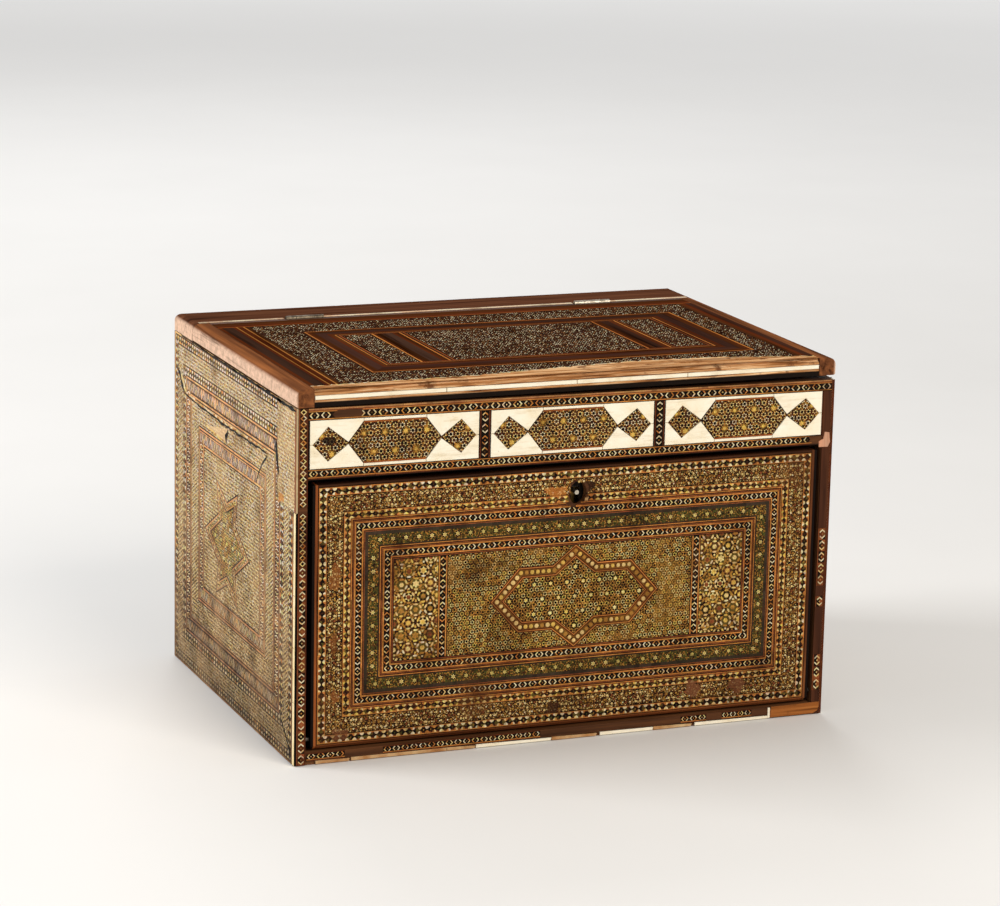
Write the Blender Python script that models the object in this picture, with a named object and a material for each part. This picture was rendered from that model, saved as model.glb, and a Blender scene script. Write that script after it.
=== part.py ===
"""Khatam casket: a hinged lid over a shallow tray, and a fall-front with a lock below it.

Units are metres and +Z is up. The front looks along -Y and the origin is the middle of the base.
"""
import math

import bmesh
import bpy
from mathutils import Matrix, Vector

# Overall size
WIDTH = 0.360
DEPTH = 0.254
HEIGHT = 0.236

# Clearances: FIT is the gap that pieces which touch keep between them
FIT = 0.0003
PIN_PLAY = 0.0003
FLOOR_CLEAR = 0.0005
LID_GAP_LEFT = 0.0006
LID_GAP_RIGHT = 0.0030
LID_JOINT = 0.0006
FALL_GAP_LEFT = 0.0035
FALL_GAP_RIGHT = 0.0025
FALL_GAP_TOP = 0.0034
FALL_GAP_BOTTOM = 0.0015
STOP_GAP = 0.0005
BOLT_PLAY = 0.0006

# Board thicknesses
VENEER = 0.0012
SIDE_BOARD = 0.006
BOTTOM_BOARD = 0.008
BACK_BOARD = 0.008
TRAY_BOARD = 0.005
RAIL_BOARD = 0.014
FALL_BOARD = 0.010
LID_THICK = 0.0113

# Carcass joinery
REAR_RAIL_DEPTH = 0.040
REAR_RAIL_ROUND = 0.004
REAR_RAIL_END_ROUND = 0.0048
TRAY_HOUSING = 0.002
TRAY_RISE = 0.002
STOP_SIZE = 0.005
STOP_RISE = 0.016

# Front rail ornament
RAIL_HEIGHT = 0.0444
RAIL_TOP_STRIP = 0.0075
RAIL_LOW_STRIP = 0.0070
RAIL_DIVIDER = 0.0078
RAIL_END = 0.0008
RAIL_PANELS = 3
BONE_LEDGE = 0.0018
MEDALLION_END_GAP = 0.0018
DIAMOND_POINT = 0.0098
DIAMOND_TAIL = 0.0130
DIAMOND_RISE = 0.0108
HEXAGON_POINT = 0.0098
MEDALLION_NECK = 0.0012

# Corner and base trim
CORNER_BONE_WIDTH = 0.0036
CORNER_BONE_HEIGHT = 0.160
PATCH_WIDTH = 0.036
BASE_BONE_HEIGHT = 0.0022

# Star medallions
FALL_STAR_HALF_WIDTH = 0.0572
FALL_STAR_SHOULDER = 0.0382
FALL_STAR_NOTCH = 0.0155
FALL_STAR_SHOULDER_RISE = 0.0204
FALL_STAR_HALF_HEIGHT = 0.0326
FALL_STAR_OFFSET = 0.0040
SIDE_STAR_TIP = 0.0480
SIDE_STAR_WAIST = 0.0184
SIDE_STAR_WAIST_RISE = 0.0165
SIDE_STAR_POINT = 0.0234
SIDE_STAR_POINT_RISE = 0.0385
SIDE_STAR_CLEFT = 0.0280
SIDE_STAR_OFFSET = 0.010
SIDE_STAR_HEIGHT = 0.107

# Lid
CLEAT_WIDTH = 0.0112
CLEAT_TOP_ROUND = 0.0048
CLEAT_LOW_ROUND = 0.0015
LIPPING_DEPTH = 0.0060
LIPPING_SETBACK = 0.0004
LIPPING_SLOPE = 0.0032
LID_BONE_HEIGHT = 0.0024
LID_BONE_RISE = 0.0046

# Fall-front
FALL_RECESS = 0.0010
FALL_SIDE_LIP = 0.0034
FALL_TOP_LIP = 0.0012
FALL_LOW_LIP = 0.0026
FALL_CHAMFER = 0.0022
PIVOT_INSET = 0.0040
PIVOT_RISE = 0.0060
PIVOT_RADIUS = 0.0015
PIVOT_IN_SIDE = 0.0045
PIVOT_IN_FALL = 0.0060

# Hinges
HINGE_X = 0.103
KNUCKLE_END = 0.0066
KNUCKLE_MIDDLE = 0.0122
KNUCKLE_RADIUS = 0.0018
HINGE_PIN_RADIUS = 0.00075
HINGE_AXIS_RISE = 0.0002
LEAF_THICK = 0.0009
LEAF_DROP = 0.0103
LEAF_TAB = 0.0013

# Lock
KEYHOLE_X = 0.0050
KEYHOLE_DROP = 0.0168
KEYHOLE_HALF_WIDTH = 0.0058
KEYHOLE_HALF_HEIGHT = 0.0076
LOCK_POCKET = 0.0065
LOCK_CASE_WIDTH = 0.040
LOCK_CASE_HEIGHT = 0.030
LOCK_WALL = 0.0010
LOCK_COVER = 0.0010
LOCK_COVER_MARGIN = 0.0045
LOCK_SLOT_HALF = 0.0027
LOCK_SLOT_RISE = 0.0030
LOCK_SLOT_FALL = 0.0085
DRILL_PIN_RADIUS = 0.0014
DRILL_PIN_SETBACK = 0.0020
BOLT_THICK = 0.0030
BOLT_HALF = 0.0060
BOLT_TAIL_OUTER = 0.0120
BOLT_TAIL_INNER = 0.0070
BOLT_TAIL_LOW = 0.0070
BOLT_SHOULDER_LOW = 0.0026
BOLT_SHOULDER_HIGH = 0.0060
BOLT_BELOW_EDGE = 0.0006
SPRING_THICK = 0.0006
SPRING_HEIGHT = 0.014
SPRING_BOW = 0.0030
LOCK_NAIL_RADIUS = 0.0008
LOCK_NAIL_LENGTH = 0.0050
STRIKE_THICK = 0.0010
STRIKE_HALF_LENGTH = 0.0150
STRIKE_HALF_WIDTH = 0.0050
STRIKE_POCKET = 0.0055

# Facets
ARC_STEPS = 6
ROUND_SIDES = 20
NAIL_SIDES = 12
OVAL_STEPS = 24

# Planes that several pieces share
FRONT = -DEPTH / 2
BACK = DEPTH / 2
BOARD_FRONT = FRONT + VENEER + FIT
BOARD_BACK = BACK - VENEER - FIT
BOARD_X = WIDTH / 2 - VENEER - FIT
INNER_X = BOARD_X - SIDE_BOARD
BOARD_LOW = BOTTOM_BOARD + FIT
LID_UNDER = HEIGHT - LID_THICK
RAIL_TOP = LID_UNDER - LID_GAP_LEFT
RAIL_LOW = RAIL_TOP - RAIL_HEIGHT
RAIL_BACK = BOARD_FRONT + RAIL_BOARD
BACK_INNER = BOARD_BACK - BACK_BOARD
TRAY_LOW = RAIL_LOW + TRAY_RISE
TRAY_TOP = TRAY_LOW + TRAY_BOARD
JOINT_Y = BACK - REAR_RAIL_DEPTH
LID_BACK = JOINT_Y - LID_JOINT / 2
SIDES = (("left", -1, LID_GAP_LEFT), ("right", 1, LID_GAP_RIGHT))

# Fall-front planes
FALL_LEFT = -INNER_X + FALL_GAP_LEFT
FALL_RIGHT = INNER_X - FALL_GAP_RIGHT
FALL_LOW = BOTTOM_BOARD + FALL_GAP_BOTTOM
FALL_TOP = RAIL_LOW - FALL_GAP_TOP
FALL_FRONT = FRONT + FALL_RECESS
FALL_CORE = FALL_FRONT + VENEER + FIT
FALL_BACK = FALL_CORE + FALL_BOARD
PANEL_LEFT = FALL_LEFT + FALL_SIDE_LIP + FIT
PANEL_RIGHT = FALL_RIGHT - FALL_SIDE_LIP - FIT
PANEL_LOW = FALL_LOW + FALL_LOW_LIP + FIT
PANEL_TOP = FALL_TOP - FALL_TOP_LIP - FIT
PIVOT = Vector((0.0, FALL_FRONT + PIVOT_INSET, FALL_LOW + PIVOT_RISE))

# Hinge and lock places
HINGE_AXIS = Vector((0.0, JOINT_Y, HEIGHT + HINGE_AXIS_RISE))
HINGE_HALF = KNUCKLE_MIDDLE / 2 + FIT + KNUCKLE_END
LEAF_TOP = KNUCKLE_RADIUS + FIT
KEYHOLE_Z = FALL_TOP - KEYHOLE_DROP
POCKET_FRONT = FALL_BACK - LOCK_POCKET
CASE_FRONT = POCKET_FRONT + FIT
CASE_TOP = PANEL_TOP - FIT
CASE_LOW = CASE_TOP - LOCK_CASE_HEIGHT
COVER_FRONT = FALL_BACK + FIT
BOLT_FRONT = CASE_FRONT + LOCK_WALL + FIT
BOLT_BACK = BOLT_FRONT + BOLT_THICK

BONE = (0.83, 0.75, 0.56)
KHATAM = (0.20, 0.13, 0.06)
DARK_WOOD = (0.11, 0.045, 0.022)
RED_WOOD = (0.20, 0.075, 0.032)
PALE_WOOD = (0.42, 0.30, 0.18)
IRON = (0.16, 0.15, 0.14)
SILVER = (0.62, 0.58, 0.50)
BRASS = (0.58, 0.43, 0.20)


def clear_scene():
    for item in list(bpy.data.objects):
        bpy.data.objects.remove(item, do_unlink=True)


def new_collection(name):
    collection = bpy.data.collections.new(name)
    bpy.context.scene.collection.children.link(collection)
    return collection


def make_material(name, colour, roughness, metallic):
    material = bpy.data.materials.new(name)
    material.use_nodes = True
    shader = material.node_tree.nodes["Principled BSDF"]
    shader.inputs["Base Color"].default_value = (*colour, 1.0)
    shader.inputs["Roughness"].default_value = roughness
    shader.inputs["Metallic"].default_value = metallic
    return material


def axis_empty(name, place, parent=None):
    """An empty on a joint axis; the moving pieces hang from it."""
    empty = bpy.data.objects.new(name, None)
    PARTS.objects.link(empty)
    if parent is not None:
        empty.parent = parent
        place = place - parent_place(parent)
    empty.location = place
    return empty


def parent_place(empty):
    place = Vector(empty.location)
    while empty.parent is not None:
        empty = empty.parent
        place += empty.location
    return place


def recentre(mesh):
    """Move a mesh built in world coordinates onto its own middle and return that middle."""
    corners = [vertex.co for vertex in mesh.vertices]
    low = Vector([min(corner[axis] for corner in corners) for axis in range(3)])
    high = Vector([max(corner[axis] for corner in corners) for axis in range(3)])
    middle = (low + high) / 2
    mesh.transform(Matrix.Translation(-middle))
    return middle


def add_piece(name, mesh, look, body=None, smooth=False):
    middle = recentre(mesh)
    mesh.name = name
    mesh.materials.clear()
    colour, roughness, metallic = look
    mesh.materials.append(make_material(name, colour, roughness, metallic))
    if smooth:
        mesh.shade_smooth()
        mesh.set_sharp_from_angle(angle=math.radians(40))
    piece = bpy.data.objects.new(name, mesh)
    PARTS.objects.link(piece)
    if body is not None:
        piece.parent = body
        middle = middle - parent_place(body)
    piece.location = middle
    return piece


def add_cutter(name, mesh):
    cutter = bpy.data.objects.new(name, mesh)
    cutter.hide_render = True
    cutter.display_type = "WIRE"
    CUTTERS.objects.link(cutter)
    return cutter


def combine(piece, name, mesh, operation="DIFFERENCE"):
    modifier = piece.modifiers.new(name, "BOOLEAN")
    modifier.operation = operation
    modifier.solver = "EXACT"
    modifier.object = add_cutter(f"{piece.name}_{name}", mesh)


def boxes(*bounds):
    """One mesh of separate boxes, each given by its low and high corner."""
    shape = bmesh.new()
    for low, high in bounds:
        low, high = Vector(low), Vector(high)
        place = Matrix.Translation((low + high) / 2) @ Matrix.Diagonal((*(high - low), 1.0))
        bmesh.ops.create_cube(shape, size=1.0, matrix=place)
    return finish_mesh(shape)


def rods(radius, sides, *ends):
    """One mesh of separate round rods, each given by its two end points."""
    shape = bmesh.new()
    for start, stop in ends:
        start, stop = Vector(start), Vector(stop)
        turn = Vector((0, 0, 1)).rotation_difference(stop - start).to_matrix().to_4x4()
        place = Matrix.Translation((start + stop) / 2) @ turn
        bmesh.ops.create_cone(shape, cap_ends=True, segments=sides, radius1=radius, radius2=radius,
                              depth=(stop - start).length, matrix=place)
    return finish_mesh(shape)


def finish_mesh(shape):
    mesh = bpy.data.meshes.new("shape")
    bmesh.ops.recalc_face_normals(shape, faces=shape.faces)
    shape.to_mesh(mesh)
    shape.free()
    return mesh


PLANES = {
    "XZ": Matrix(((1, 0, 0, 0), (0, 0, 1, 0), (0, 1, 0, 0), (0, 0, 0, 1))),
    "YZ": Matrix(((0, 0, 1, 0), (1, 0, 0, 0), (0, 1, 0, 0), (0, 0, 0, 1))),
}


def outline_solid(plane, near, far, *outlines):
    """Outlines in a plane, filled and given thickness from near to far; an inner outline is a hole."""
    curve = bpy.data.curves.new("outline", "CURVE")
    curve.dimensions = "2D"
    curve.fill_mode = "BOTH"
    curve.extrude = (far - near) / 2
    for outline in outlines:
        spline = curve.splines.new("POLY")
        spline.points.add(len(outline) - 1)
        spline.use_cyclic_u = True
        for point, (across, up) in zip(spline.points, outline):
            point.co = (across, up, 0.0, 1.0)
    guide = bpy.data.objects.new("outline", curve)
    bpy.context.scene.collection.objects.link(guide)
    evaluated = guide.evaluated_get(bpy.context.evaluated_depsgraph_get())
    mesh = bpy.data.meshes.new_from_object(evaluated)
    bpy.data.objects.remove(guide)
    mesh.transform(PLANES[plane] @ Matrix.Translation((0, 0, (near + far) / 2)))
    shape = bmesh.new()
    shape.from_mesh(mesh)
    bmesh.ops.remove_doubles(shape, verts=shape.verts, dist=0.000001)
    return finish_mesh(shape)


def rectangle(left, right, low, high):
    return [(left, low), (right, low), (right, high), (left, high)]


def inset(outline, distance):
    """The outline moved inwards by a distance, whichever way round it runs."""
    count = len(outline)
    points = [Vector(point) for point in outline]
    area = sum(points[k].x * points[(k + 1) % count].y - points[(k + 1) % count].x * points[k].y
               for k in range(count))
    side = math.copysign(1.0, area)
    corners = []
    for k in range(count):
        before = (points[k] - points[k - 1]).normalized()
        after = (points[(k + 1) % count] - points[k]).normalized()
        before_in = Vector((-before.y, before.x)) * side
        after_in = Vector((-after.y, after.x)) * side
        corner = (before_in + after_in) / (1.0 + before_in.dot(after_in))
        corners.append(tuple(points[k] + corner * distance))
    return corners


def arc(centre, radius, start, stop):
    """Points on an arc between two angles in degrees."""
    points = []
    for step in range(ARC_STEPS + 1):
        angle = math.radians(start + (stop - start) * step / ARC_STEPS)
        points.append((centre[0] + radius * math.cos(angle), centre[1] + radius * math.sin(angle)))
    return points


def oval(centre, half_width, half_height):
    points = []
    for step in range(OVAL_STEPS):
        angle = 2 * math.pi * step / OVAL_STEPS
        points.append((centre[0] + half_width * math.cos(angle), centre[1] + half_height * math.sin(angle)))
    return points


def mirrored(quarter):
    """A closed outline from its first-quadrant points, which run from the +across axis to the +up axis."""
    upper = quarter + [(-across, up) for across, up in reversed(quarter) if across > 0]
    return upper + [(across, -up) for across, up in reversed(upper) if up > 0]


def moved(outline, across, up):
    return [(point[0] + across, point[1] + up) for point in outline]


def fall_star_outline():
    return mirrored([
        (FALL_STAR_HALF_WIDTH, 0.0),
        (FALL_STAR_SHOULDER, FALL_STAR_SHOULDER_RISE),
        (FALL_STAR_NOTCH, FALL_STAR_SHOULDER_RISE),
        (0.0, FALL_STAR_HALF_HEIGHT),
    ])


def side_star_outline():
    return mirrored([
        (SIDE_STAR_TIP, 0.0),
        (SIDE_STAR_WAIST, SIDE_STAR_WAIST_RISE),
        (SIDE_STAR_POINT, SIDE_STAR_POINT_RISE),
        (0.0, SIDE_STAR_CLEFT),
    ])


def sagged(outline):
    """Front rail outline with its top lowered towards the right, as the lid gap grows there."""
    drop = LID_GAP_RIGHT - LID_GAP_LEFT
    points = []
    for across, up in outline:
        share = (across + INNER_X) / (2 * INNER_X) * (up - RAIL_LOW) / RAIL_HEIGHT
        points.append((across, up - drop * share))
    return points


def side_top(gap, depth):
    """Height of a side's top edge at a depth: it meets the rear rail and falls away to the front."""
    share = (JOINT_Y - depth) / (JOINT_Y - FRONT)
    return LID_UNDER - FIT - (gap - FIT) * max(0.0, share)


def build_boards():
    wood = (DARK_WOOD, 0.55, 0.0)
    add_piece("bottom_board", boxes((
        (-BOARD_X, BOARD_FRONT, 0.0), (BOARD_X, BOARD_BACK, BOTTOM_BOARD))), wood)
    for side, sign, gap in SIDES:
        outline = [
            (BOARD_FRONT, BOARD_LOW),
            (BOARD_BACK, BOARD_LOW),
            (BOARD_BACK, LID_UNDER - FIT),
            (JOINT_Y, LID_UNDER - FIT),
            (BOARD_FRONT, side_top(gap, BOARD_FRONT)),
        ]
        near, far = sorted((sign * INNER_X, sign * BOARD_X))
        board = add_piece(f"{side}_side_board", outline_solid("YZ", near, far, outline), wood)
        groove = sorted((sign * (INNER_X - TRAY_HOUSING), sign * (INNER_X + TRAY_HOUSING)))
        combine(board, "tray_groove", boxes((
            (groove[0], RAIL_BACK, TRAY_LOW - FIT), (groove[1], BACK_INNER, TRAY_TOP + FIT))))
        combine(board, "pivot_hole", rods(PIVOT_RADIUS + PIN_PLAY, ROUND_SIDES, (
            (sign * (INNER_X - PIVOT_IN_SIDE), PIVOT.y, PIVOT.z),
            (sign * (INNER_X + PIVOT_IN_SIDE + FIT), PIVOT.y, PIVOT.z))))
    inside = INNER_X - FIT
    add_piece("back_board", boxes((
        (-inside, BACK_INNER, BOARD_LOW), (inside, BOARD_BACK, LID_UNDER - FIT))), wood)
    housed = INNER_X + TRAY_HOUSING - FIT
    add_piece("tray_floor", boxes((
        (-housed, RAIL_BACK + FIT, TRAY_LOW), (housed, BACK_INNER - FIT, TRAY_TOP))), wood)
    for side, sign, _ in SIDES:
        edge, face = sorted((sign * inside, sign * (inside - STOP_SIZE)))
        add_piece(f"{side}_fall_stop", boxes((
            (edge, FALL_BACK + STOP_GAP, PIVOT.z + STOP_RISE),
            (face, FALL_BACK + STOP_GAP + STOP_SIZE, RAIL_LOW - FIT))), wood)


def build_front_rail():
    inside = INNER_X - FIT
    rail_outline = sagged(rectangle(-inside, inside, RAIL_LOW, RAIL_TOP))
    rail = add_piece("front_rail", outline_solid("XZ", BOARD_FRONT, RAIL_BACK, rail_outline),
                     (DARK_WOOD, 0.55, 0.0))
    bolt_middle = (BOLT_FRONT + BOLT_BACK) / 2
    combine(rail, "strike_recess", boxes((
        (KEYHOLE_X - STRIKE_HALF_LENGTH - FIT, bolt_middle - STRIKE_HALF_WIDTH - FIT, RAIL_LOW - FIT),
        (KEYHOLE_X + STRIKE_HALF_LENGTH + FIT, bolt_middle + STRIKE_HALF_WIDTH + FIT,
         RAIL_LOW + STRIKE_THICK + FIT))))
    slot_low = (KEYHOLE_X - BOLT_HALF - BOLT_PLAY, BOLT_FRONT - BOLT_PLAY)
    slot_high = (KEYHOLE_X + BOLT_HALF + BOLT_PLAY, BOLT_BACK + BOLT_PLAY)
    combine(rail, "bolt_pocket", boxes((
        (*slot_low, RAIL_LOW - FIT), (*slot_high, RAIL_LOW + STRIKE_POCKET))))
    plate = add_piece("strike_plate", boxes((
        (KEYHOLE_X - STRIKE_HALF_LENGTH, bolt_middle - STRIKE_HALF_WIDTH, RAIL_LOW),
        (KEYHOLE_X + STRIKE_HALF_LENGTH, bolt_middle + STRIKE_HALF_WIDTH, RAIL_LOW + STRIKE_THICK))),
        (IRON, 0.5, 1.0))
    combine(plate, "bolt_slot", boxes((
        (*slot_low, RAIL_LOW - FIT), (*slot_high, RAIL_LOW + STRIKE_THICK + FIT))))
    build_rail_ornament()


def medallion_outline(panel_width):
    """Hexagon with a diamond at each end, joined by narrow necks, as long as its panel allows."""
    rise = (RAIL_HEIGHT - RAIL_TOP_STRIP - RAIL_LOW_STRIP) / 2 - BONE_LEDGE
    neck = MEDALLION_NECK / 2
    diamond_tip = panel_width / 2 - MEDALLION_END_GAP
    diamond_peak = diamond_tip - DIAMOND_POINT
    hexagon_tip = diamond_peak - DIAMOND_TAIL
    return mirrored([
        (diamond_tip, 0.0),
        (diamond_peak, DIAMOND_RISE),
        (hexagon_tip + neck * DIAMOND_TAIL / DIAMOND_RISE, neck),
        (hexagon_tip - neck * HEXAGON_POINT / rise, neck),
        (hexagon_tip - HEXAGON_POINT, rise),
    ])


def build_rail_ornament():
    """Border frame, bone panels and khatam medallions on the face of the front rail."""
    inside = INNER_X - FIT / 2
    low, high = RAIL_LOW + RAIL_LOW_STRIP, RAIL_TOP - RAIL_TOP_STRIP
    room = 2 * (inside - RAIL_END) - (RAIL_PANELS - 1) * RAIL_DIVIDER
    panel = room / RAIL_PANELS
    border = [rectangle(-inside, inside, RAIL_LOW, RAIL_TOP)]
    for index in range(RAIL_PANELS):
        left = -inside + RAIL_END + index * (panel + RAIL_DIVIDER)
        edge = rectangle(left, left + panel, low, high)
        window = moved(medallion_outline(panel), left + panel / 2, (low + high) / 2)
        border.append(edge)
        number = index + 1
        add_rail_face(f"rail_bone_panel_{number}", (BONE, 0.4, 0.0), inset(edge, FIT), window)
        add_rail_face(f"rail_medallion_{number}", (KHATAM, 0.5, 0.0), inset(window, FIT))
    add_rail_face("rail_border", (KHATAM, 0.5, 0.0), *border)


def add_rail_face(name, look, *outlines):
    shapes = [sagged(outline) for outline in outlines]
    add_piece(name, outline_solid("XZ", FRONT, FRONT + VENEER, *shapes), look)


def build_rear_rail():
    """Fixed strip along the back of the top, with its upper outer edges rounded."""
    front = JOINT_Y + LID_JOINT / 2
    turn = REAR_RAIL_ROUND
    profile = [(front, LID_UNDER), (BACK, LID_UNDER)]
    profile += arc((BACK - turn, HEIGHT - turn), turn, 0, 90) + [(front, HEIGHT)]
    rail = add_piece("rear_top_rail", outline_solid("YZ", -WIDTH / 2, WIDTH / 2, profile),
                     (RED_WOOD, 0.4, 0.0), smooth=True)
    cut_hinge_seats(rail, 1)
    turn = REAR_RAIL_END_ROUND
    right_end = arc((WIDTH / 2 - turn, HEIGHT - turn), turn, 0, 90)
    left_end = [(-across, up) for across, up in reversed(right_end)]
    base = LID_UNDER - FIT
    ends = [(-WIDTH / 2, base), (WIDTH / 2, base)] + right_end + left_end
    combine(rail, "rounded_ends", outline_solid("XZ", JOINT_Y, BACK + FIT, ends), "INTERSECT")


def hinge_centres():
    return [(side, sign * HINGE_X) for side, sign, _ in SIDES]


def cut_hinge_seats(piece, sign, with_leaf=True):
    """Cut the barrel groove and leaf mortise of both hinges; sign is +1 behind the joint."""
    groove = KNUCKLE_RADIUS + FIT
    reach = HINGE_HALF + FIT
    for side, centre in hinge_centres():
        combine(piece, f"{side}_barrel_groove", rods(groove, ROUND_SIDES, (
            (centre - reach, HINGE_AXIS.y, HINGE_AXIS.z), (centre + reach, HINGE_AXIS.y, HINGE_AXIS.z))))
        if with_leaf:
            near, far = sorted((HINGE_AXIS.y, HINGE_AXIS.y + sign * (FIT / 2 + LEAF_THICK + FIT)))
            combine(piece, f"{side}_leaf_mortise", boxes((
                (centre - reach, near, HINGE_AXIS.z - LEAF_DROP - FIT),
                (centre + reach, far, HINGE_AXIS.z - LEAF_TAB))))


def knuckle_spans(centre, outer):
    """X spans of the knuckles of one leaf: the outer pair or the middle one."""
    half = KNUCKLE_MIDDLE / 2
    if outer:
        return [(centre - HINGE_HALF, centre - half - FIT), (centre + half + FIT, centre + HINGE_HALF)]
    return [(centre - half, centre + half)]


def build_hinge_leaf(name, centre, sign, outer, body):
    near, far = sorted((HINGE_AXIS.y + sign * FIT / 2, HINGE_AXIS.y + sign * (FIT / 2 + LEAF_THICK)))
    low, high = HINGE_AXIS.z - LEAF_DROP, HINGE_AXIS.z - LEAF_TOP
    leaf = add_piece(name, boxes((
        (centre - HINGE_HALF, near, low), (centre + HINGE_HALF, far, high))),
        (SILVER, 0.35, 1.0), body, smooth=True)
    for index, (start, stop) in enumerate(knuckle_spans(centre, outer)):
        combine(leaf, f"tab_{index}", boxes((
            (start, near, high - LEAF_THICK), (stop, far, HINGE_AXIS.z - LEAF_TAB))), "UNION")
        combine(leaf, f"knuckle_{index}", rods(KNUCKLE_RADIUS, ROUND_SIDES, (
            (start, HINGE_AXIS.y, HINGE_AXIS.z), (stop, HINGE_AXIS.y, HINGE_AXIS.z))), "UNION")
    reach = HINGE_HALF + FIT
    combine(leaf, "pin_bore", rods(HINGE_PIN_RADIUS + PIN_PLAY, ROUND_SIDES, (
        (centre - reach, HINGE_AXIS.y, HINGE_AXIS.z), (centre + reach, HINGE_AXIS.y, HINGE_AXIS.z))))


def build_hinges(lid):
    for side, centre in hinge_centres():
        build_hinge_leaf(f"{side}_hinge_fixed_leaf", centre, 1, True, None)
        build_hinge_leaf(f"{side}_hinge_lid_leaf", centre, -1, False, lid)
        ends = [(centre + sign * HINGE_HALF, HINGE_AXIS.y, HINGE_AXIS.z) for sign in (-1, 1)]
        add_piece(f"{side}_hinge_pin", rods(HINGE_PIN_RADIUS, ROUND_SIDES, ends),
                  (IRON, 0.4, 1.0), smooth=True)


def side_veneer_outline(side, gap):
    """Veneer of a side: it leaves room for the corner bone and, on the left, for the plain corner patch."""
    front = FRONT + CORNER_BONE_WIDTH + FIT
    rear = BOARD_BACK
    outline = [(front, FLOOR_CLEAR), (rear, FLOOR_CLEAR), (rear, LID_UNDER - FIT), (JOINT_Y, LID_UNDER - FIT)]
    if side == "left":
        step = FRONT + PATCH_WIDTH + FIT
        shelf = CORNER_BONE_HEIGHT - FIT
        return outline + [(step, side_top(gap, step)), (step, shelf), (front, shelf)]
    return outline + [(front, side_top(gap, front))]


def build_veneers():
    khatam = (KHATAM, 0.5, 0.0)
    star = moved(side_star_outline(), SIDE_STAR_OFFSET, SIDE_STAR_HEIGHT)
    for side, sign, gap in SIDES:
        near, far = sorted((sign * WIDTH / 2, sign * (WIDTH / 2 - VENEER)))
        veneer = side_veneer_outline(side, gap)
        add_piece(f"{side}_side_veneer", outline_solid("YZ", near, far, veneer, star), khatam)
        add_piece(f"{side}_side_star", outline_solid("YZ", near, far, inset(star, FIT)), khatam)
    back = rectangle(-WIDTH / 2, WIDTH / 2, FLOOR_CLEAR, LID_UNDER - FIT)
    add_piece("back_veneer", outline_solid("XZ", BACK - VENEER, BACK, back), khatam)


def build_trim():
    khatam = (KHATAM, 0.5, 0.0)
    bone = (BONE, 0.4, 0.0)
    for side, sign, gap in SIDES:
        left, right = sorted((sign * (INNER_X + FIT / 2), sign * BOARD_X))
        stile = rectangle(left, right, FLOOR_CLEAR, side_top(gap, FRONT))
        add_piece(f"{side}_stile_strip", outline_solid("XZ", FRONT, FRONT + VENEER, stile), khatam)
        near, far = sorted((sign * WIDTH / 2, sign * (WIDTH / 2 - VENEER)))
        bone_top = CORNER_BONE_HEIGHT - FIT if side == "left" else side_top(gap, FRONT)
        strip = rectangle(FRONT, FRONT + CORNER_BONE_WIDTH, FLOOR_CLEAR, bone_top)
        add_piece(f"{side}_corner_bone", outline_solid("YZ", near, far, strip), bone)
    patch = [
        (FRONT, CORNER_BONE_HEIGHT),
        (FRONT + PATCH_WIDTH, CORNER_BONE_HEIGHT),
        (FRONT + PATCH_WIDTH, side_top(LID_GAP_LEFT, FRONT + PATCH_WIDTH)),
        (FRONT, side_top(LID_GAP_LEFT, FRONT)),
    ]
    add_piece("left_corner_patch", outline_solid("YZ", -WIDTH / 2, -WIDTH / 2 + VENEER, patch),
              (PALE_WOOD, 0.6, 0.0))
    inside = INNER_X - FIT / 2
    bone_top = FLOOR_CLEAR + BASE_BONE_HEIGHT
    for name, low, high, look in (
            ("bottom_bone_strip", FLOOR_CLEAR, bone_top, bone),
            ("bottom_edge_strip", bone_top + FIT, BOTTOM_BOARD, khatam)):
        strip = rectangle(-inside, inside, low, high)
        add_piece(name, outline_solid("XZ", FRONT, FRONT + VENEER, strip), look)


def build_lid(lid):
    inside = WIDTH / 2 - CLEAT_WIDTH - FIT
    core_front = FRONT + LIPPING_DEPTH + FIT
    board = add_piece("lid_board", boxes((
        (-inside, core_front, LID_UNDER), (inside, LID_BACK, HEIGHT - VENEER - FIT))),
        (DARK_WOOD, 0.5, 0.0), lid)
    veneer = add_piece("lid_veneer", boxes((
        (-inside, core_front, HEIGHT - VENEER), (inside, LID_BACK, HEIGHT))), (KHATAM, 0.45, 0.0), lid)
    cut_hinge_seats(board, -1)
    cut_hinge_seats(veneer, -1, with_leaf=False)
    top, low = CLEAT_TOP_ROUND, CLEAT_LOW_ROUND
    profile = [(0.0, LID_UNDER)]
    profile += arc((CLEAT_WIDTH - low, LID_UNDER + low), low, -90, 0)
    profile += arc((CLEAT_WIDTH - top, HEIGHT - top), top, 0, 90) + [(0.0, HEIGHT)]
    for side, sign, _ in SIDES:
        shape = [(sign * (WIDTH / 2 - CLEAT_WIDTH + across), up) for across, up in profile]
        add_piece(f"lid_{side}_cleat", outline_solid("XZ", FRONT, LID_BACK, shape),
                  (RED_WOOD, 0.4, 0.0), lid, smooth=True)
    build_lid_front(inside, lid)


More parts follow.
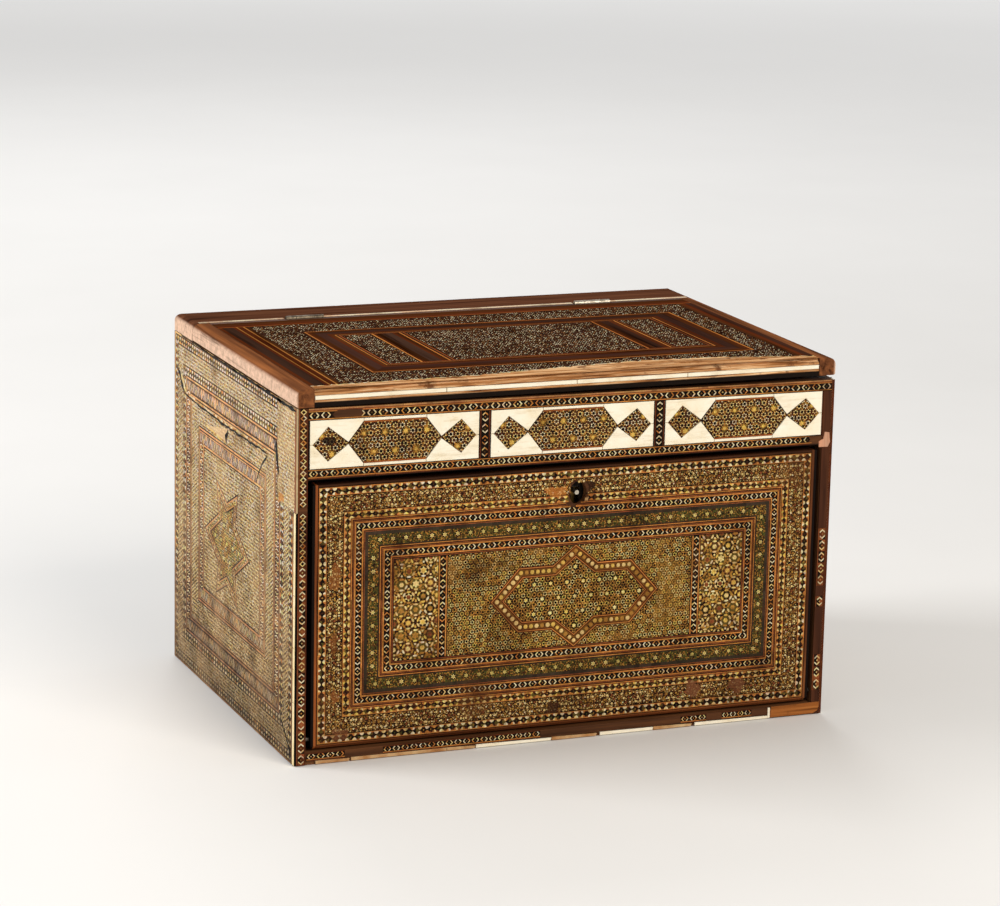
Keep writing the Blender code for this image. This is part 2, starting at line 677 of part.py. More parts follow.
def build_lid_front(inside, lid):
    """Front lipping with a worn sloping top edge and a groove for the bone strip."""
    face = FRONT + LIPPING_SETBACK
    bone_low = LID_UNDER + LID_BONE_RISE
    bone_high = bone_low + LID_BONE_HEIGHT
    floor = FRONT + VENEER + FIT
    profile = [
        (FRONT + LIPPING_DEPTH, LID_UNDER),
        (FRONT + LIPPING_DEPTH, HEIGHT),
        (face + LIPPING_SLOPE, HEIGHT - FIT),
        (face, HEIGHT - LIPPING_SLOPE),
        (face, bone_high + FIT),
        (floor, bone_high + FIT),
        (floor, bone_low - FIT),
        (face, bone_low - FIT),
        (face, LID_UNDER),
    ]
    add_piece("lid_front_lipping", outline_solid("YZ", -inside, inside, profile), (PALE_WOOD, 0.6, 0.0), lid)
    add_piece("lid_front_bone", boxes(((-inside, FRONT, bone_low), (inside, FRONT + VENEER, bone_high))),
              (BONE, 0.4, 0.0), lid)


def build_fall(fall):
    board = add_piece("fall_board", boxes((
        (PANEL_LEFT, FALL_CORE, PANEL_LOW), (PANEL_RIGHT, FALL_BACK, PANEL_TOP))),
        (DARK_WOOD, 0.5, 0.0), fall)
    keyhole = oval((KEYHOLE_X, KEYHOLE_Z), KEYHOLE_HALF_WIDTH, KEYHOLE_HALF_HEIGHT)
    combine(board, "keyhole", outline_solid("XZ", FALL_CORE - FIT, FALL_BACK + FIT, keyhole))
    half = LOCK_CASE_WIDTH / 2 + FIT
    combine(board, "lock_pocket", boxes((
        (KEYHOLE_X - half, POCKET_FRONT, CASE_LOW - FIT),
        (KEYHOLE_X + half, FALL_BACK + FIT, PANEL_TOP + FIT))))
    star_x = (PANEL_LEFT + PANEL_RIGHT) / 2 + FALL_STAR_OFFSET
    star = moved(fall_star_outline(), star_x, (PANEL_LOW + PANEL_TOP) / 2)
    khatam = (KHATAM, 0.45, 0.0)
    veneer_back = FALL_FRONT + VENEER
    panel = rectangle(PANEL_LEFT, PANEL_RIGHT, PANEL_LOW, PANEL_TOP)
    add_piece("fall_veneer", outline_solid("XZ", FALL_FRONT, veneer_back, panel, star, keyhole), khatam, fall)
    add_piece("fall_star", outline_solid("XZ", FALL_FRONT, veneer_back, inset(star, FIT)), khatam, fall)
    lippings = build_fall_lippings(fall)
    for side, sign, _ in SIDES:
        edge = FALL_LEFT if side == "left" else FALL_RIGHT
        inner_end = edge - sign * (FALL_SIDE_LIP + FIT + PIVOT_IN_FALL)
        outer_end = sign * (INNER_X + PIVOT_IN_SIDE)
        add_piece(f"{side}_pivot_pin", rods(PIVOT_RADIUS, ROUND_SIDES, (
            (outer_end, PIVOT.y, PIVOT.z), (inner_end, PIVOT.y, PIVOT.z))), (IRON, 0.5, 1.0), smooth=True)
        for piece in (board, lippings[side]):
            combine(piece, f"{side}_pivot_hole", rods(PIVOT_RADIUS + PIN_PLAY, ROUND_SIDES, (
                (edge + sign * FIT, PIVOT.y, PIVOT.z), (inner_end - sign * FIT, PIVOT.y, PIVOT.z))))
    return board, lippings["top"]


def build_fall_lippings(fall):
    """Solid edging round the fall-front; its lower front edge is eased so that it can turn."""
    wood = (RED_WOOD, 0.45, 0.0)
    eased = [
        (FALL_BACK, FALL_LOW),
        (FALL_BACK, FALL_TOP),
        (FALL_FRONT, FALL_TOP),
        (FALL_FRONT, FALL_LOW + FALL_CHAMFER),
        (FALL_FRONT + FALL_CHAMFER, FALL_LOW),
    ]
    low_edge = [(depth, min(up, FALL_LOW + FALL_LOW_LIP)) for depth, up in eased]
    pieces = {
        "left": outline_solid("YZ", FALL_LEFT, FALL_LEFT + FALL_SIDE_LIP, eased),
        "right": outline_solid("YZ", FALL_RIGHT - FALL_SIDE_LIP, FALL_RIGHT, eased),
        "top": boxes(((PANEL_LEFT, FALL_FRONT, FALL_TOP - FALL_TOP_LIP), (PANEL_RIGHT, FALL_BACK, FALL_TOP))),
        "bottom": outline_solid("YZ", PANEL_LEFT, PANEL_RIGHT, low_edge),
    }
    return {place: add_piece(f"fall_{place}_lipping", mesh, wood, fall) for place, mesh in pieces.items()}


def build_lock(fall, bolt_body, board, top_lipping):
    iron = (IRON, 0.5, 1.0)
    half = LOCK_CASE_WIDTH / 2
    inner = half - LOCK_WALL
    case = add_piece("lock_case", boxes((
        (KEYHOLE_X - half, CASE_FRONT, CASE_LOW), (KEYHOLE_X + half, FALL_BACK, CASE_TOP))), iron, fall)
    combine(case, "hollow", boxes((
        (KEYHOLE_X - inner, CASE_FRONT + LOCK_WALL, CASE_LOW + LOCK_WALL),
        (KEYHOLE_X + inner, FALL_BACK + FIT, CASE_TOP - LOCK_WALL))))
    combine(case, "key_slot", boxes((
        (KEYHOLE_X - LOCK_SLOT_HALF, CASE_FRONT - FIT, KEYHOLE_Z - LOCK_SLOT_FALL),
        (KEYHOLE_X + LOCK_SLOT_HALF, CASE_FRONT + LOCK_WALL + FIT, KEYHOLE_Z + LOCK_SLOT_RISE))))
    bolt_hole = boxes((
        (KEYHOLE_X - BOLT_HALF - BOLT_PLAY, BOLT_FRONT - FIT, CASE_TOP - LOCK_WALL - FIT),
        (KEYHOLE_X + BOLT_HALF + BOLT_PLAY, BOLT_BACK + BOLT_PLAY, FALL_TOP + FIT)))
    combine(case, "bolt_hole", bolt_hole)
    combine(top_lipping, "bolt_hole", bolt_hole)
    build_lock_cover(half, board, fall)
    add_piece("lock_drill_pin", rods(DRILL_PIN_RADIUS, ROUND_SIDES, (
        (KEYHOLE_X, FALL_FRONT + DRILL_PIN_SETBACK, KEYHOLE_Z), (KEYHOLE_X, FALL_BACK, KEYHOLE_Z))),
        (SILVER, 0.35, 1.0), fall, smooth=True)
    add_piece("lock_bolt", outline_solid("XZ", BOLT_FRONT, BOLT_BACK, bolt_outline()),
              (IRON, 0.4, 1.0), bolt_body)
    build_lock_spring(inner, fall)


def bolt_outline():
    """Bolt head, shoulder and the tail that hangs beside the drill pin."""
    shape = [
        (-BOLT_TAIL_OUTER, -BOLT_TAIL_LOW),
        (-BOLT_TAIL_INNER, -BOLT_TAIL_LOW),
        (-BOLT_TAIL_INNER, BOLT_SHOULDER_LOW),
        (BOLT_HALF, BOLT_SHOULDER_LOW),
        (BOLT_HALF, KEYHOLE_DROP - BOLT_BELOW_EDGE),
        (-BOLT_HALF, KEYHOLE_DROP - BOLT_BELOW_EDGE),
        (-BOLT_HALF, BOLT_SHOULDER_HIGH),
        (-BOLT_TAIL_OUTER, BOLT_SHOULDER_HIGH),
    ]
    return moved(shape, KEYHOLE_X, KEYHOLE_Z)


def build_lock_cover(half, board, fall):
    """Cover plate on the inner face of the fall-front, with a nail near each corner."""
    margin = LOCK_COVER_MARGIN
    outer = COVER_FRONT + LOCK_COVER
    cover = add_piece("lock_cover", boxes((
        (KEYHOLE_X - half - 2 * margin, COVER_FRONT, CASE_LOW - margin),
        (KEYHOLE_X + half + 2 * margin, outer, CASE_TOP))), (IRON, 0.5, 1.0), fall)
    places = [(KEYHOLE_X + sign * (half + margin), height)
              for height in (CASE_LOW, CASE_TOP - margin) for sign in (-1, 1)]
    holes = []
    for number, (across, height) in enumerate(places, start=1):
        add_piece(f"lock_nail_{number}", rods(LOCK_NAIL_RADIUS, NAIL_SIDES, (
            (across, outer, height), (across, outer - LOCK_NAIL_LENGTH, height))),
            (IRON, 0.5, 1.0), fall, smooth=True)
        holes.append(((across, outer + FIT, height), (across, outer - LOCK_NAIL_LENGTH - FIT, height)))
    for piece in (cover, board):
        combine(piece, "nail_holes", rods(LOCK_NAIL_RADIUS + PIN_PLAY, NAIL_SIDES, *holes))


def build_lock_spring(inner, fall):
    """Bowed leaf spring between the case wall and the bolt's tail."""
    wall = KEYHOLE_X - inner + FIT
    tail = KEYHOLE_X - BOLT_TAIL_OUTER - FIT
    reach = min(tail - wall - SPRING_THICK, SPRING_BOW)
    low = KEYHOLE_Z - BOLT_TAIL_LOW
    steps = 2 * ARC_STEPS
    heights = [low + SPRING_HEIGHT * step / steps for step in range(steps + 1)]
    bow = [tail - SPRING_THICK - reach * (2 * step / steps - 1) ** 2 for step in range(steps + 1)]
    leaf = list(zip(bow, heights))
    leaf += [(across + SPRING_THICK, up) for across, up in reversed(leaf)]
    foot = rectangle(wall, tail - SPRING_THICK - reach + SPRING_THICK / 2, low, low + SPRING_THICK)
    spring = add_piece("lock_spring", outline_solid("XZ", BOLT_FRONT, BOLT_BACK, leaf),
                       (BRASS, 0.4, 1.0), fall, smooth=True)
    combine(spring, "foot", outline_solid("XZ", BOLT_FRONT, BOLT_BACK, foot), "UNION")


def build_casket():
    lid = axis_empty("lid_axis", HINGE_AXIS)
    fall = axis_empty("fall_axis", PIVOT)
    bolt_body = axis_empty("bolt_axis", Vector((KEYHOLE_X, BOLT_FRONT, KEYHOLE_Z)), fall)
    build_boards()
    build_front_rail()
    build_rear_rail()
    build_veneers()
    build_trim()
    build_lid(lid)
    build_hinges(lid)
    board, top_lipping = build_fall(fall)
    build_lock(fall, bolt_body, board, top_lipping)


clear_scene()
PARTS = new_collection("khatam_casket")
CUTTERS = new_collection("khatam_casket_cutters")
build_casket()
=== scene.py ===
"""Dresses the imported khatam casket: mosaic, bone, wood and metal finishes, then stage, light and camera."""
import math

import bpy
import numpy as np
from mathutils import Matrix, Vector
from mathutils.geometry import tessellate_polygon


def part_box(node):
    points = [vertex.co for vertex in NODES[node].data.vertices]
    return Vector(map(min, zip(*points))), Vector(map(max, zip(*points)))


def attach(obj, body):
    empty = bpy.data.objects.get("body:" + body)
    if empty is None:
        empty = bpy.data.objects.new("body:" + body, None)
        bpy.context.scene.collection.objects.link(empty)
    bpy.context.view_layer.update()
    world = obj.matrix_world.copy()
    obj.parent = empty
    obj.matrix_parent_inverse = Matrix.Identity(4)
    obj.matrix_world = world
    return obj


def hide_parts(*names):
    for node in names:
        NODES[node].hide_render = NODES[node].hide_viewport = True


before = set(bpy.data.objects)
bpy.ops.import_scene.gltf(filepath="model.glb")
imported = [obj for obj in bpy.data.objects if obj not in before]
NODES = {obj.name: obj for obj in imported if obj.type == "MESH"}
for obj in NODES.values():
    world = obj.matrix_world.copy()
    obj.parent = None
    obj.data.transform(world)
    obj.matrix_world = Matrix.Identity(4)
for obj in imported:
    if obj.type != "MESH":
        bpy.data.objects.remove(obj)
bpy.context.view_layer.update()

# Patterns are laid out in millimetres on each face, and the frame is in metres
MM = 0.001
ROOT3 = math.sqrt(3.0)
TINY = 1e-6
SHEET_HEIGHT = 0.15
MERGE_STEP = 0.002
SMALLEST_TILE = 0.004
HEXAGON_TURNS = np.radians(np.arange(6) * 60)
HEXAGON = np.column_stack((np.cos(HEXAGON_TURNS), np.sin(HEXAGON_TURNS)))

# Paints of the mosaic's rods, as sRGB from 0 to 255, and how far single tiles stray from them
PAINTS = {
    "ebony": (17, 10, 5),
    "dark": (37, 22, 12),
    "grey": (62, 52, 42),
    "bone": (240, 228, 196),
    "cream": (238, 212, 150),
    "brass": (230, 196, 104),
    "gold": (180, 134, 64),
    "tan": (156, 113, 65),
    "bronze": (124, 84, 38),
    "amber": (196, 133, 70),
    "sand": (182, 136, 92),
    "orange": (160, 92, 46),
    "sienna": (136, 78, 46),
    "rust": (94, 49, 27),
    "maroon": (78, 28, 16),
    "brown": (80, 47, 26),
    "umber": (70, 48, 40),
    "olive": (98, 84, 40),
    "green": (74, 78, 36),
    "sage": (198, 184, 112),
}
METAL_PAINTS = ("brass", "gold")
PAINT_NUMBERS = {name: number for number, name in enumerate(PAINTS)}
SHADE_SPREAD = 0.14
SHADE_LIMITS = (0.6, 1.45)
TINT_SPREAD = 0.04
BRIGHTEST = 0.88

# Rosettes: the paints of each ring of triangles, from the centre outwards
FINE_RINGS = ("ebony ebony olive", "cream brass cream gold", "dark ebony gold olive brown")
STAR_RINGS = ("ebony", "cream brass gold", "dark ebony gold brown olive")
FLOWER_RINGS = ("cream brass", "cream brass", "ebony")
MEDALLION_RINGS = ("brown dark ebony", "bone cream cream", "brown rust dark gold ebony")
MEDALLION_FLOWERS = ("brass", "brass gold", "olive gold")
MIXED_RINGS = (
    "cream gold sienna cream gold tan", "ebony dark ebony brown",
    "dark ebony olive ebony brown gold rust tan cream")
SIDE_RINGS = ("cream bone gold cream sage", "dark brown umber grey", "brown tan dark gold umber bone")
COARSE_RINGS = (
    "cream gold sienna brass", "gold tan olive cream", "brown dark olive", "gold tan olive gold",
    "brown olive gold", "dark brown olive gold")
LID_RINGS = ("umber dark umber brown umber dark",)
GREEN_RINGS = ("sage", "sage cream", "ebony dark", "olive green brown dark green gold")
RING_EDGES = (0.8, 1.3, 1.8, 2.2, 2.4, 2.8, 3.3)
FLOWER_STEP = 3

# Weaves: the side of a rosette's triangles, and how many sides lie between two rosettes
BAND_WEAVE = (0.8, 4)
ROW_WEAVE = (0.97, 9)
SIDE_WEAVE = (0.9, 3)
COARSE_WEAVE = (1.58, 6)
FIELD_WEAVE = (0.86, 4)
FALL_STAR_WEAVE = (0.92, 4)
SIDE_STAR_WEAVE = (1.05, 4)
MEDALLION_WEAVE = (1.125, 4)
LID_WEAVE = (1.6, 3)

# Cells of the straight bands, drawn in a unit square: paints to choose from, then the outline
CHAIN_STROKE = ((0.08, 0.5), (0.2, 0.5), (0.4, 0.92), (0.28, 0.92))
CHAIN_CORNER = ((0.0, 0.5), (0.08, 0.5), (0.28, 0.92), (0.28, 1.0), (0.0, 1.0))
CHAIN_HEART = (
    (0.2, 0.5), (0.43, 0.5), (0.5, 0.63), (0.57, 0.5), (0.8, 0.5), (0.6, 0.92),
    (0.72, 0.92), (0.72, 1.0), (0.28, 1.0), (0.28, 0.92), (0.4, 0.92),
)
CHAIN_DOT = ((0.43, 0.5), (0.5, 0.37), (0.57, 0.5), (0.5, 0.63))
BEAD_DOT = (0.1, 0.16)
LATTICE_CORNER = ((0.0, 0.5), (0.0, 1.0), (0.5, 1.0))
LATTICE_STROKE = ((0.0, 0.5), (0.2, 0.5), (0.5, 0.8), (0.5, 1.0))
LATTICE_HEART = ((0.2, 0.5), (0.5, 0.2), (0.8, 0.5), (0.5, 0.8))


def four_ways(outline):
    """An outline in the unit square with its three mirror images."""
    return [[(x if near else 1 - x, y if low else 1 - y) for x, y in outline]
            for near in (True, False) for low in (True, False)]


def chain_cell(strokes, ground, dot):
    """Pale strokes that make a chain of lozenges along a band, with a dot in the middle of each."""
    cell = [(strokes, outline) for outline in four_ways(CHAIN_STROKE)]
    cell += [(ground, outline) for outline in four_ways(CHAIN_CORNER)]
    cell += [(ground, CHAIN_HEART), (ground, [(x, 1 - y) for x, y in CHAIN_HEART])]
    return cell + [(dot, CHAIN_DOT)]


def bead_cell(light, dark, rim, dot, half):
    """Pale half lenses at a band's edges, with a dark eye and its dot between each pair."""
    shoulder = (0.8 * half, 0.2)
    steps = [(0.0, 0.4), (0.4 * half, 0.34), shoulder]
    across, up = BEAD_DOT
    lens = [(0.0, 0.0), (half, 0.0)] + steps[::-1]
    eye = steps + [(0.5, 0.2), (0.5, 0.5 - up), (0.5 - across, 0.5), (0.0, 0.5)]
    corner = [shoulder, (half, 0.0), (0.5, 0.0), (0.5, 0.2)]
    cell = []
    for paints, outline in ((light, lens), (dark, eye), (rim, corner)):
        cell += [(paints, copy) for copy in four_ways(outline)]
    return cell + [(dot, ((0.5 - across, 0.5), (0.5, 0.5 - up), (0.5 + across, 0.5), (0.5, 0.5 + up)))]


def lattice_cell(strokes, ground):
    """Pale diagonal strokes that cross into a net of lozenges."""
    cell = [(ground, outline) for outline in four_ways(LATTICE_CORNER)]
    cell += [(strokes, outline) for outline in four_ways(LATTICE_STROKE)]
    return cell + [(ground, LATTICE_HEART)]


CHAIN_CELL = chain_cell("bone cream bone amber", "ebony dark", "tan amber cream olive")
SIDE_CHAIN_CELL = chain_cell("bone cream bone", "brown tan umber brown", "tan cream")
STILE_CHAIN_CELL = chain_cell("bone cream bone", "dark rust sienna", "tan amber cream")
BEAD_CELL = bead_cell(
    "cream bone cream bone amber", "ebony dark olive dark", "brown rust sienna",
    "olive green gold brown", 0.31)
GOLD_BEAD_CELL = bead_cell(
    "brass cream amber cream", "dark brown olive dark", "sienna rust gold", "olive dark gold", 0.33)
LATTICE_CELL = lattice_cell("cream bone cream amber", "dark brown rust")

# Bands that repeat a cell, each with its pitch in widths of the band
CELL_BANDS = {
    "chain": (CHAIN_CELL, 1.72),
    "stile_chain": (STILE_CHAIN_CELL, 1.72),
    "side_chain": (SIDE_CHAIN_CELL, 0.72),
    "bead": (BEAD_CELL, 1.14),
    "gold_bead": (GOLD_BEAD_CELL, 1.14),
    "side_bead": (BEAD_CELL, 1.05),
    "lattice": (LATTICE_CELL, 0.92),
}

# Bands from a panel's edge inwards: what each shows and its width
CHAIN_LINES = (
    ("amber", 0.6), ("ebony", 0.6), ("sienna", 0.6), ("ebony", 0.3), ("amber", 0.9), ("chain", 3.9),
    ("amber", 0.9), ("ebony", 0.5), ("sienna", 0.6),
)
FALL_BANDS = (
    ("dark", 0.35), ("amber", 0.55), ("bead", 4.2), ("amber", 0.45), ("ebony", 0.45),
    ("mosaic", 10.0), ("ebony", 0.45), ("amber", 0.45), ("gold_bead", 3.9), ("rust", 0.5), *CHAIN_LINES,
    ("grey", 2.2), ("rosettes", 6.6), ("grey", 0.6), ("ebony", 0.4), *CHAIN_LINES, ("ebony", 0.5),
)
DIVIDER_LINES = (("ebony", 0.5), ("amber", 0.8), ("chain", 4.0), ("amber", 0.8), ("ebony", 0.7))
FALL_END_PANEL = 28.6
SIDE_LINES = (("dark", 1.0), ("sand", 1.1), ("dark", 1.0), ("sand", 0.6))
SIDE_BANDS = (
    ("sand", 1.1), ("dark", 1.0), ("side_bead", 4.4), ("dark", 1.0), ("side_mosaic", 10.6), ("dark", 1.0),
    ("side_bead", 4.7), ("dark", 1.1), ("sand", 1.0), ("dark", 0.9), ("side_chain", 6.8), *SIDE_LINES,
    ("side_mosaic", 14.0), *SIDE_LINES, ("side_chain", 7.0), ("sand", 1.1), ("dark", 1.0),
)


def total_width(bands):
    """The widths of some bands together."""
    return sum(width for _, width in bands)


# Colours

def linear(colour):
    """An sRGB colour from 0 to 255 as the linear values that shaders use."""
    share = np.asarray(colour, float) / 255
    return np.where(share <= 0.04045, share / 12.92, ((share + 0.055) / 1.055) ** 2.4)


PAINT_COLOURS = np.array([linear(colour) for colour in PAINTS.values()])
PAINT_METAL = np.array([name in METAL_PAINTS for name in PAINTS], float)
RIPPLE_SINES = 7
RIPPLE_LENGTHS = (0.5, 1.6)


def paint_numbers(paints):
    """The numbers of some paints, named in one string."""
    return np.array([PAINT_NUMBERS[name] for name in paints.split()])


def ripple(points, seed, wavelength):
    """A smooth random wave over a face, mostly within -1 and 1, made from a few sines."""
    random = np.random.default_rng(seed)
    total = np.zeros(len(points))
    for _ in range(RIPPLE_SINES):
        angle, phase = random.uniform(0, 2 * math.pi, 2)
        length = wavelength * random.uniform(*RIPPLE_LENGTHS)
        across = points[:, 0] * math.cos(angle) + points[:, 1] * math.sin(angle)
        total += np.sin(across * 2 * math.pi / length + phase)
    return total / math.sqrt(RIPPLE_SINES)


# Outlines

def rectangle(left, low, right, high):
    """A rectangle's corners, anticlockwise."""
    return [(left, low), (right, low), (right, high), (left, high)]


def moved(outline, offset):
    """An outline moved along and up its face."""
    return [(x + offset[0], y + offset[1]) for x, y in outline]


def mirrored(quarter):
    """A closed outline from the points of its first quarter, which starts on the long axis."""
    top = quarter + [(-x, y) for x, y in reversed(quarter) if x > 0]
    return top + [(x, -y) for x, y in reversed(top) if y > 0]


def inset(outline, distance):
    """An anticlockwise outline moved inwards by a distance, with sharp corners."""
    points = [Vector(point) for point in outline]
    corners = []
    for k, point in enumerate(points):
        before = (point - points[k - 1]).normalized()
        after = (points[(k + 1) % len(points)] - point).normalized()
        inwards = (Vector((-before.y, before.x)) + Vector((-after.y, after.x))) / 2
        corners.append(point + inwards * distance / inwards.length_squared)
    return [tuple(corner) for corner in corners]


def inside_outline(outline):
    """A test of which points lie inside an outline, for an array of points."""
    ring = np.asarray(outline, float)

    def test(points):
        found = np.zeros(len(points), bool)
        for (ax, ay), (bx, by) in zip(ring, np.roll(ring, -1, 0)):
            if ay == by:
                continue
            level = (ay > points[:, 1]) != (by > points[:, 1])
            found ^= level & (points[:, 0] < (bx - ax) * (points[:, 1] - ay) / (by - ay) + ax)
        return found

    return test


RAGGED_WAVES = 3
RAGGED_DEPTH = 0.12


def ragged_patch(centre, size, seed):
    """A test for a lost patch with a broken edge, its size given as half its width and half its height."""
    phases = np.random.default_rng(seed).uniform(0, 2 * math.pi, RAGGED_WAVES)

    def test(points):
        offset = (points - centre) / size
        angle = np.arctan2(offset[:, 1], offset[:, 0])
        edge = 1 + sum(RAGGED_DEPTH * np.sin((k + 2) * angle + phase) for k, phase in enumerate(phases))
        return np.hypot(offset[:, 0], offset[:, 1]) < edge

    return test


# Faces, runs and sheets

class Face:
    """A flat side of the casket: where it starts, and which ways run along, up and out of it."""

    def __init__(self, origin, along, up, warp=None):
        self.origin = np.array(origin, float)
        self.along = np.array(along, float)
        self.up = np.array(up, float)
        self.out = np.cross(self.along, self.up)
        self.warp = warp

    def place(self, points, height):
        """Places in the frame of points on the face, raised by a height, all from millimetres."""
        points = np.asarray(points, float)
        if self.warp:
            points = self.warp(points)
        raised = np.broadcast_to(np.asarray(height, float), points.shape[:1])
        flat = points[:, :1] * self.along + points[:, 1:] * self.up
        return self.origin + (flat + raised[:, None] * self.out) * MM


def front_face(x, y, z, warp=None):
    """A face that looks forwards, from a place in the frame."""
    return Face((x, y, z), (1, 0, 0), (0, 0, 1), warp)


def top_face(z):
    """A face that looks up, laid out in the frame's own x and y."""
    return Face((0, 0, z), (1, 0, 0), (0, 1, 0))


def front_size(low, high):
    """The width and height of a box seen from the front, in millimetres."""
    return (high.x - low.x) / MM, (high.z - low.z) / MM


class Run:
    """A straight band: a rectangle with its length along or up the face."""

    def __init__(self, left, low, right, high, upright):
        self.corner = np.array((left, low), float)
        self.upright = upright
        across, up = right - left, high - low
        self.length, self.width = (up, across) if upright else (across, up)

    def place(self, points):
        """Points given along and across the run, as points on the face."""
        return self.corner + (points[..., ::-1] if self.upright else points)

    def whole(self):
        """The run's own rectangle, along and across it."""
        return rectangle(0, 0, self.length, self.width)


class Sheet:
    """Flat tiles on one face, gathered as arrays and then built as one mesh."""

    def __init__(self, face, seed):
        self.face = face
        self.random = np.random.default_rng(seed)
        self.tiles = {}
        self.raised = None
        self.losses = []
        self.lifts = []
        self.wear_and_painted_light = []

    def choose(self, paints, count):
        """A random pick of paint numbers from some paints, named in one string."""
        numbers = paint_numbers(paints)
        return numbers[self.random.integers(0, len(numbers), count)]

    def add(self, corners, paints):
        """Adds tiles of equal corner count: corners (tiles, count, 2) and one paint number each."""
        corners = np.asarray(corners, float)
        if len(corners):
            self.tiles.setdefault(corners.shape[1], []).append((corners, np.asarray(paints)))

    def gain(self, amount):
        """Brightens or darkens the whole sheet."""
        self.lifts.append(lambda points: np.full(len(points), amount))

    def fade(self, seed, wavelength, base, swing, limit, paint, inside=None):
        """Moves the sheet towards a colour in uneven patches, everywhere or only where a test says: wear and
        dust, painted sheen and painted highlights.
        """

        def share(points):
            patches = (base + swing * ripple(points, seed, wavelength)).clip(0, limit)
            return patches * inside(points) if inside else patches

        self.wear_and_painted_light.append((share, paint))

    def wear_inside(self, inside, share, paint):
        """Wears the sheet towards a colour where a test says."""
        self.wear_and_painted_light.append((lambda points: share * inside(points), paint))

    def wear_spot(self, place, size, seed, share, paint):
        """Wears one ragged spot towards a colour."""
        self.wear_inside(ragged_patch(place, size, seed), share, paint)

    def lost(self, middles):
        """Which tiles have fallen out."""
        gone = np.zeros(len(middles), bool)
        for inside in self.losses:
            gone |= inside(middles)
        return gone

    def colours(self, middles, paints):
        """Each tile's colour: its paint, its own shade, and the brightness and wear of the place where it
        lies, some of which is painted light.
        """
        colours = PAINT_COLOURS[paints]
        shade = self.random.normal(1.0, SHADE_SPREAD, (len(paints), 1)).clip(*SHADE_LIMITS)
        tint = self.random.normal(1.0, TINT_SPREAD, (len(paints), 3))
        colours = colours * shade * tint
        for lift in self.lifts:
            colours = colours * lift(middles)[:, None]
        for amount, paint in self.wear_and_painted_light:
            share = amount(middles)[:, None]
            colours = colours * (1 - share) + linear(paint) * share
        return colours.clip(0, BRIGHTEST)

    def build(self, name, body, material, height=SHEET_HEIGHT, slot="khatam"):
        """Makes one mesh of the tiles that are left, all facing out, with their shared corners merged."""
        points, faces, colours, metal = [], [], [], []
        start = 0
        for count, groups in sorted(self.tiles.items()):
            corners, paints = (np.concatenate(parts) for parts in zip(*groups))
            middles = corners.mean(1)
            kept = ~self.lost(middles)
            corners, paints, middles = corners[kept], paints[kept], middles[kept]
            after = np.roll(corners, -1, 1)
            turn = (corners[..., 0] * after[..., 1] - after[..., 0] * corners[..., 1]).sum(1)
            corners[turn < 0] = corners[turn < 0, ::-1]
            points.append(corners.reshape(-1, 2))
            faces.append(start + np.arange(len(corners) * count).reshape(-1, count))
            colours.append(np.repeat(self.colours(middles, paints), count, 0))
            metal.append(np.repeat(PAINT_METAL[paints], count))
            start += len(corners) * count
        points = np.concatenate(points)
        grid = np.round(points / MERGE_STEP).astype(np.int64)
        _, first, number = np.unique(grid, axis=0, return_index=True, return_inverse=True)
        places = self.face.place(points[first], height)
        number = number.reshape(-1)
        polygons = [ring for group in faces for ring in number[group].tolist()]
        look = (np.concatenate(colours), np.concatenate(metal), material)
        return tile_mesh(name, body, places, polygons, *look, slot)


def tile_mesh(name, body, places, polygons, colours, metal, material, slot="khatam"):
    """A mesh piece whose corners carry the tiles' colours and how metallic they are."""
    mesh = bpy.data.meshes.new(name)
    mesh.from_pydata(places.tolist(), [], polygons)
    opaque = np.column_stack((colours, np.ones(len(colours))))
    paint = mesh.attributes.new("tile_colour", "FLOAT_COLOR", "CORNER")
    paint.data.foreach_set("color", opaque.astype(np.float32).ravel())
    shine = mesh.attributes.new("tile_metal", "FLOAT", "CORNER")
    shine.data.foreach_set("value", metal.astype(np.float32))
    mesh.validate()
    return add_piece(name, body, mesh, material)


def add_piece(name, body, mesh, material):
    """Puts a mesh in the scene as a named piece that rides on a body."""
    piece = bpy.data.objects.new(name, mesh)
    bpy.context.scene.collection.objects.link(piece)
    mesh.materials.append(material)
    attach(piece, body)
    return piece


# Patterns

LINE_LENGTHS = (2.5, 7.0)
PICKS = 10 ** 6


def repeat_cells(sheet, run, cell, pitch):
    """Repeats a cell along a run, its pitch given in widths of the run."""
    count = max(1, round(run.length / (pitch * run.width)))
    step = run.length / count
    starts = np.column_stack((np.arange(count) * step, np.zeros(count)))
    for paints, outline in cell:
        points = np.array(outline) * (step, run.width)
        sheet.add(run.place(starts[:, None] + points[None]), sheet.choose(paints, count))


def strips(near, far):
    """The quads between two lines of points."""
    return np.stack((near[:-1], near[1:], far[1:], far[:-1]), 1)


def stringing(sheet, run, paint):
    """A plain line of wood, laid in short lengths whose shades differ a little."""
    cuts = [0.0]
    while cuts[-1] < run.length:
        cuts.append(min(run.length, cuts[-1] + sheet.random.uniform(*LINE_LENGTHS)))
    near = np.column_stack((cuts, np.zeros(len(cuts))))
    far = np.column_stack((cuts, np.full(len(cuts), run.width)))
    sheet.add(run.place(strips(near, far)), sheet.choose(paint, len(cuts) - 1))


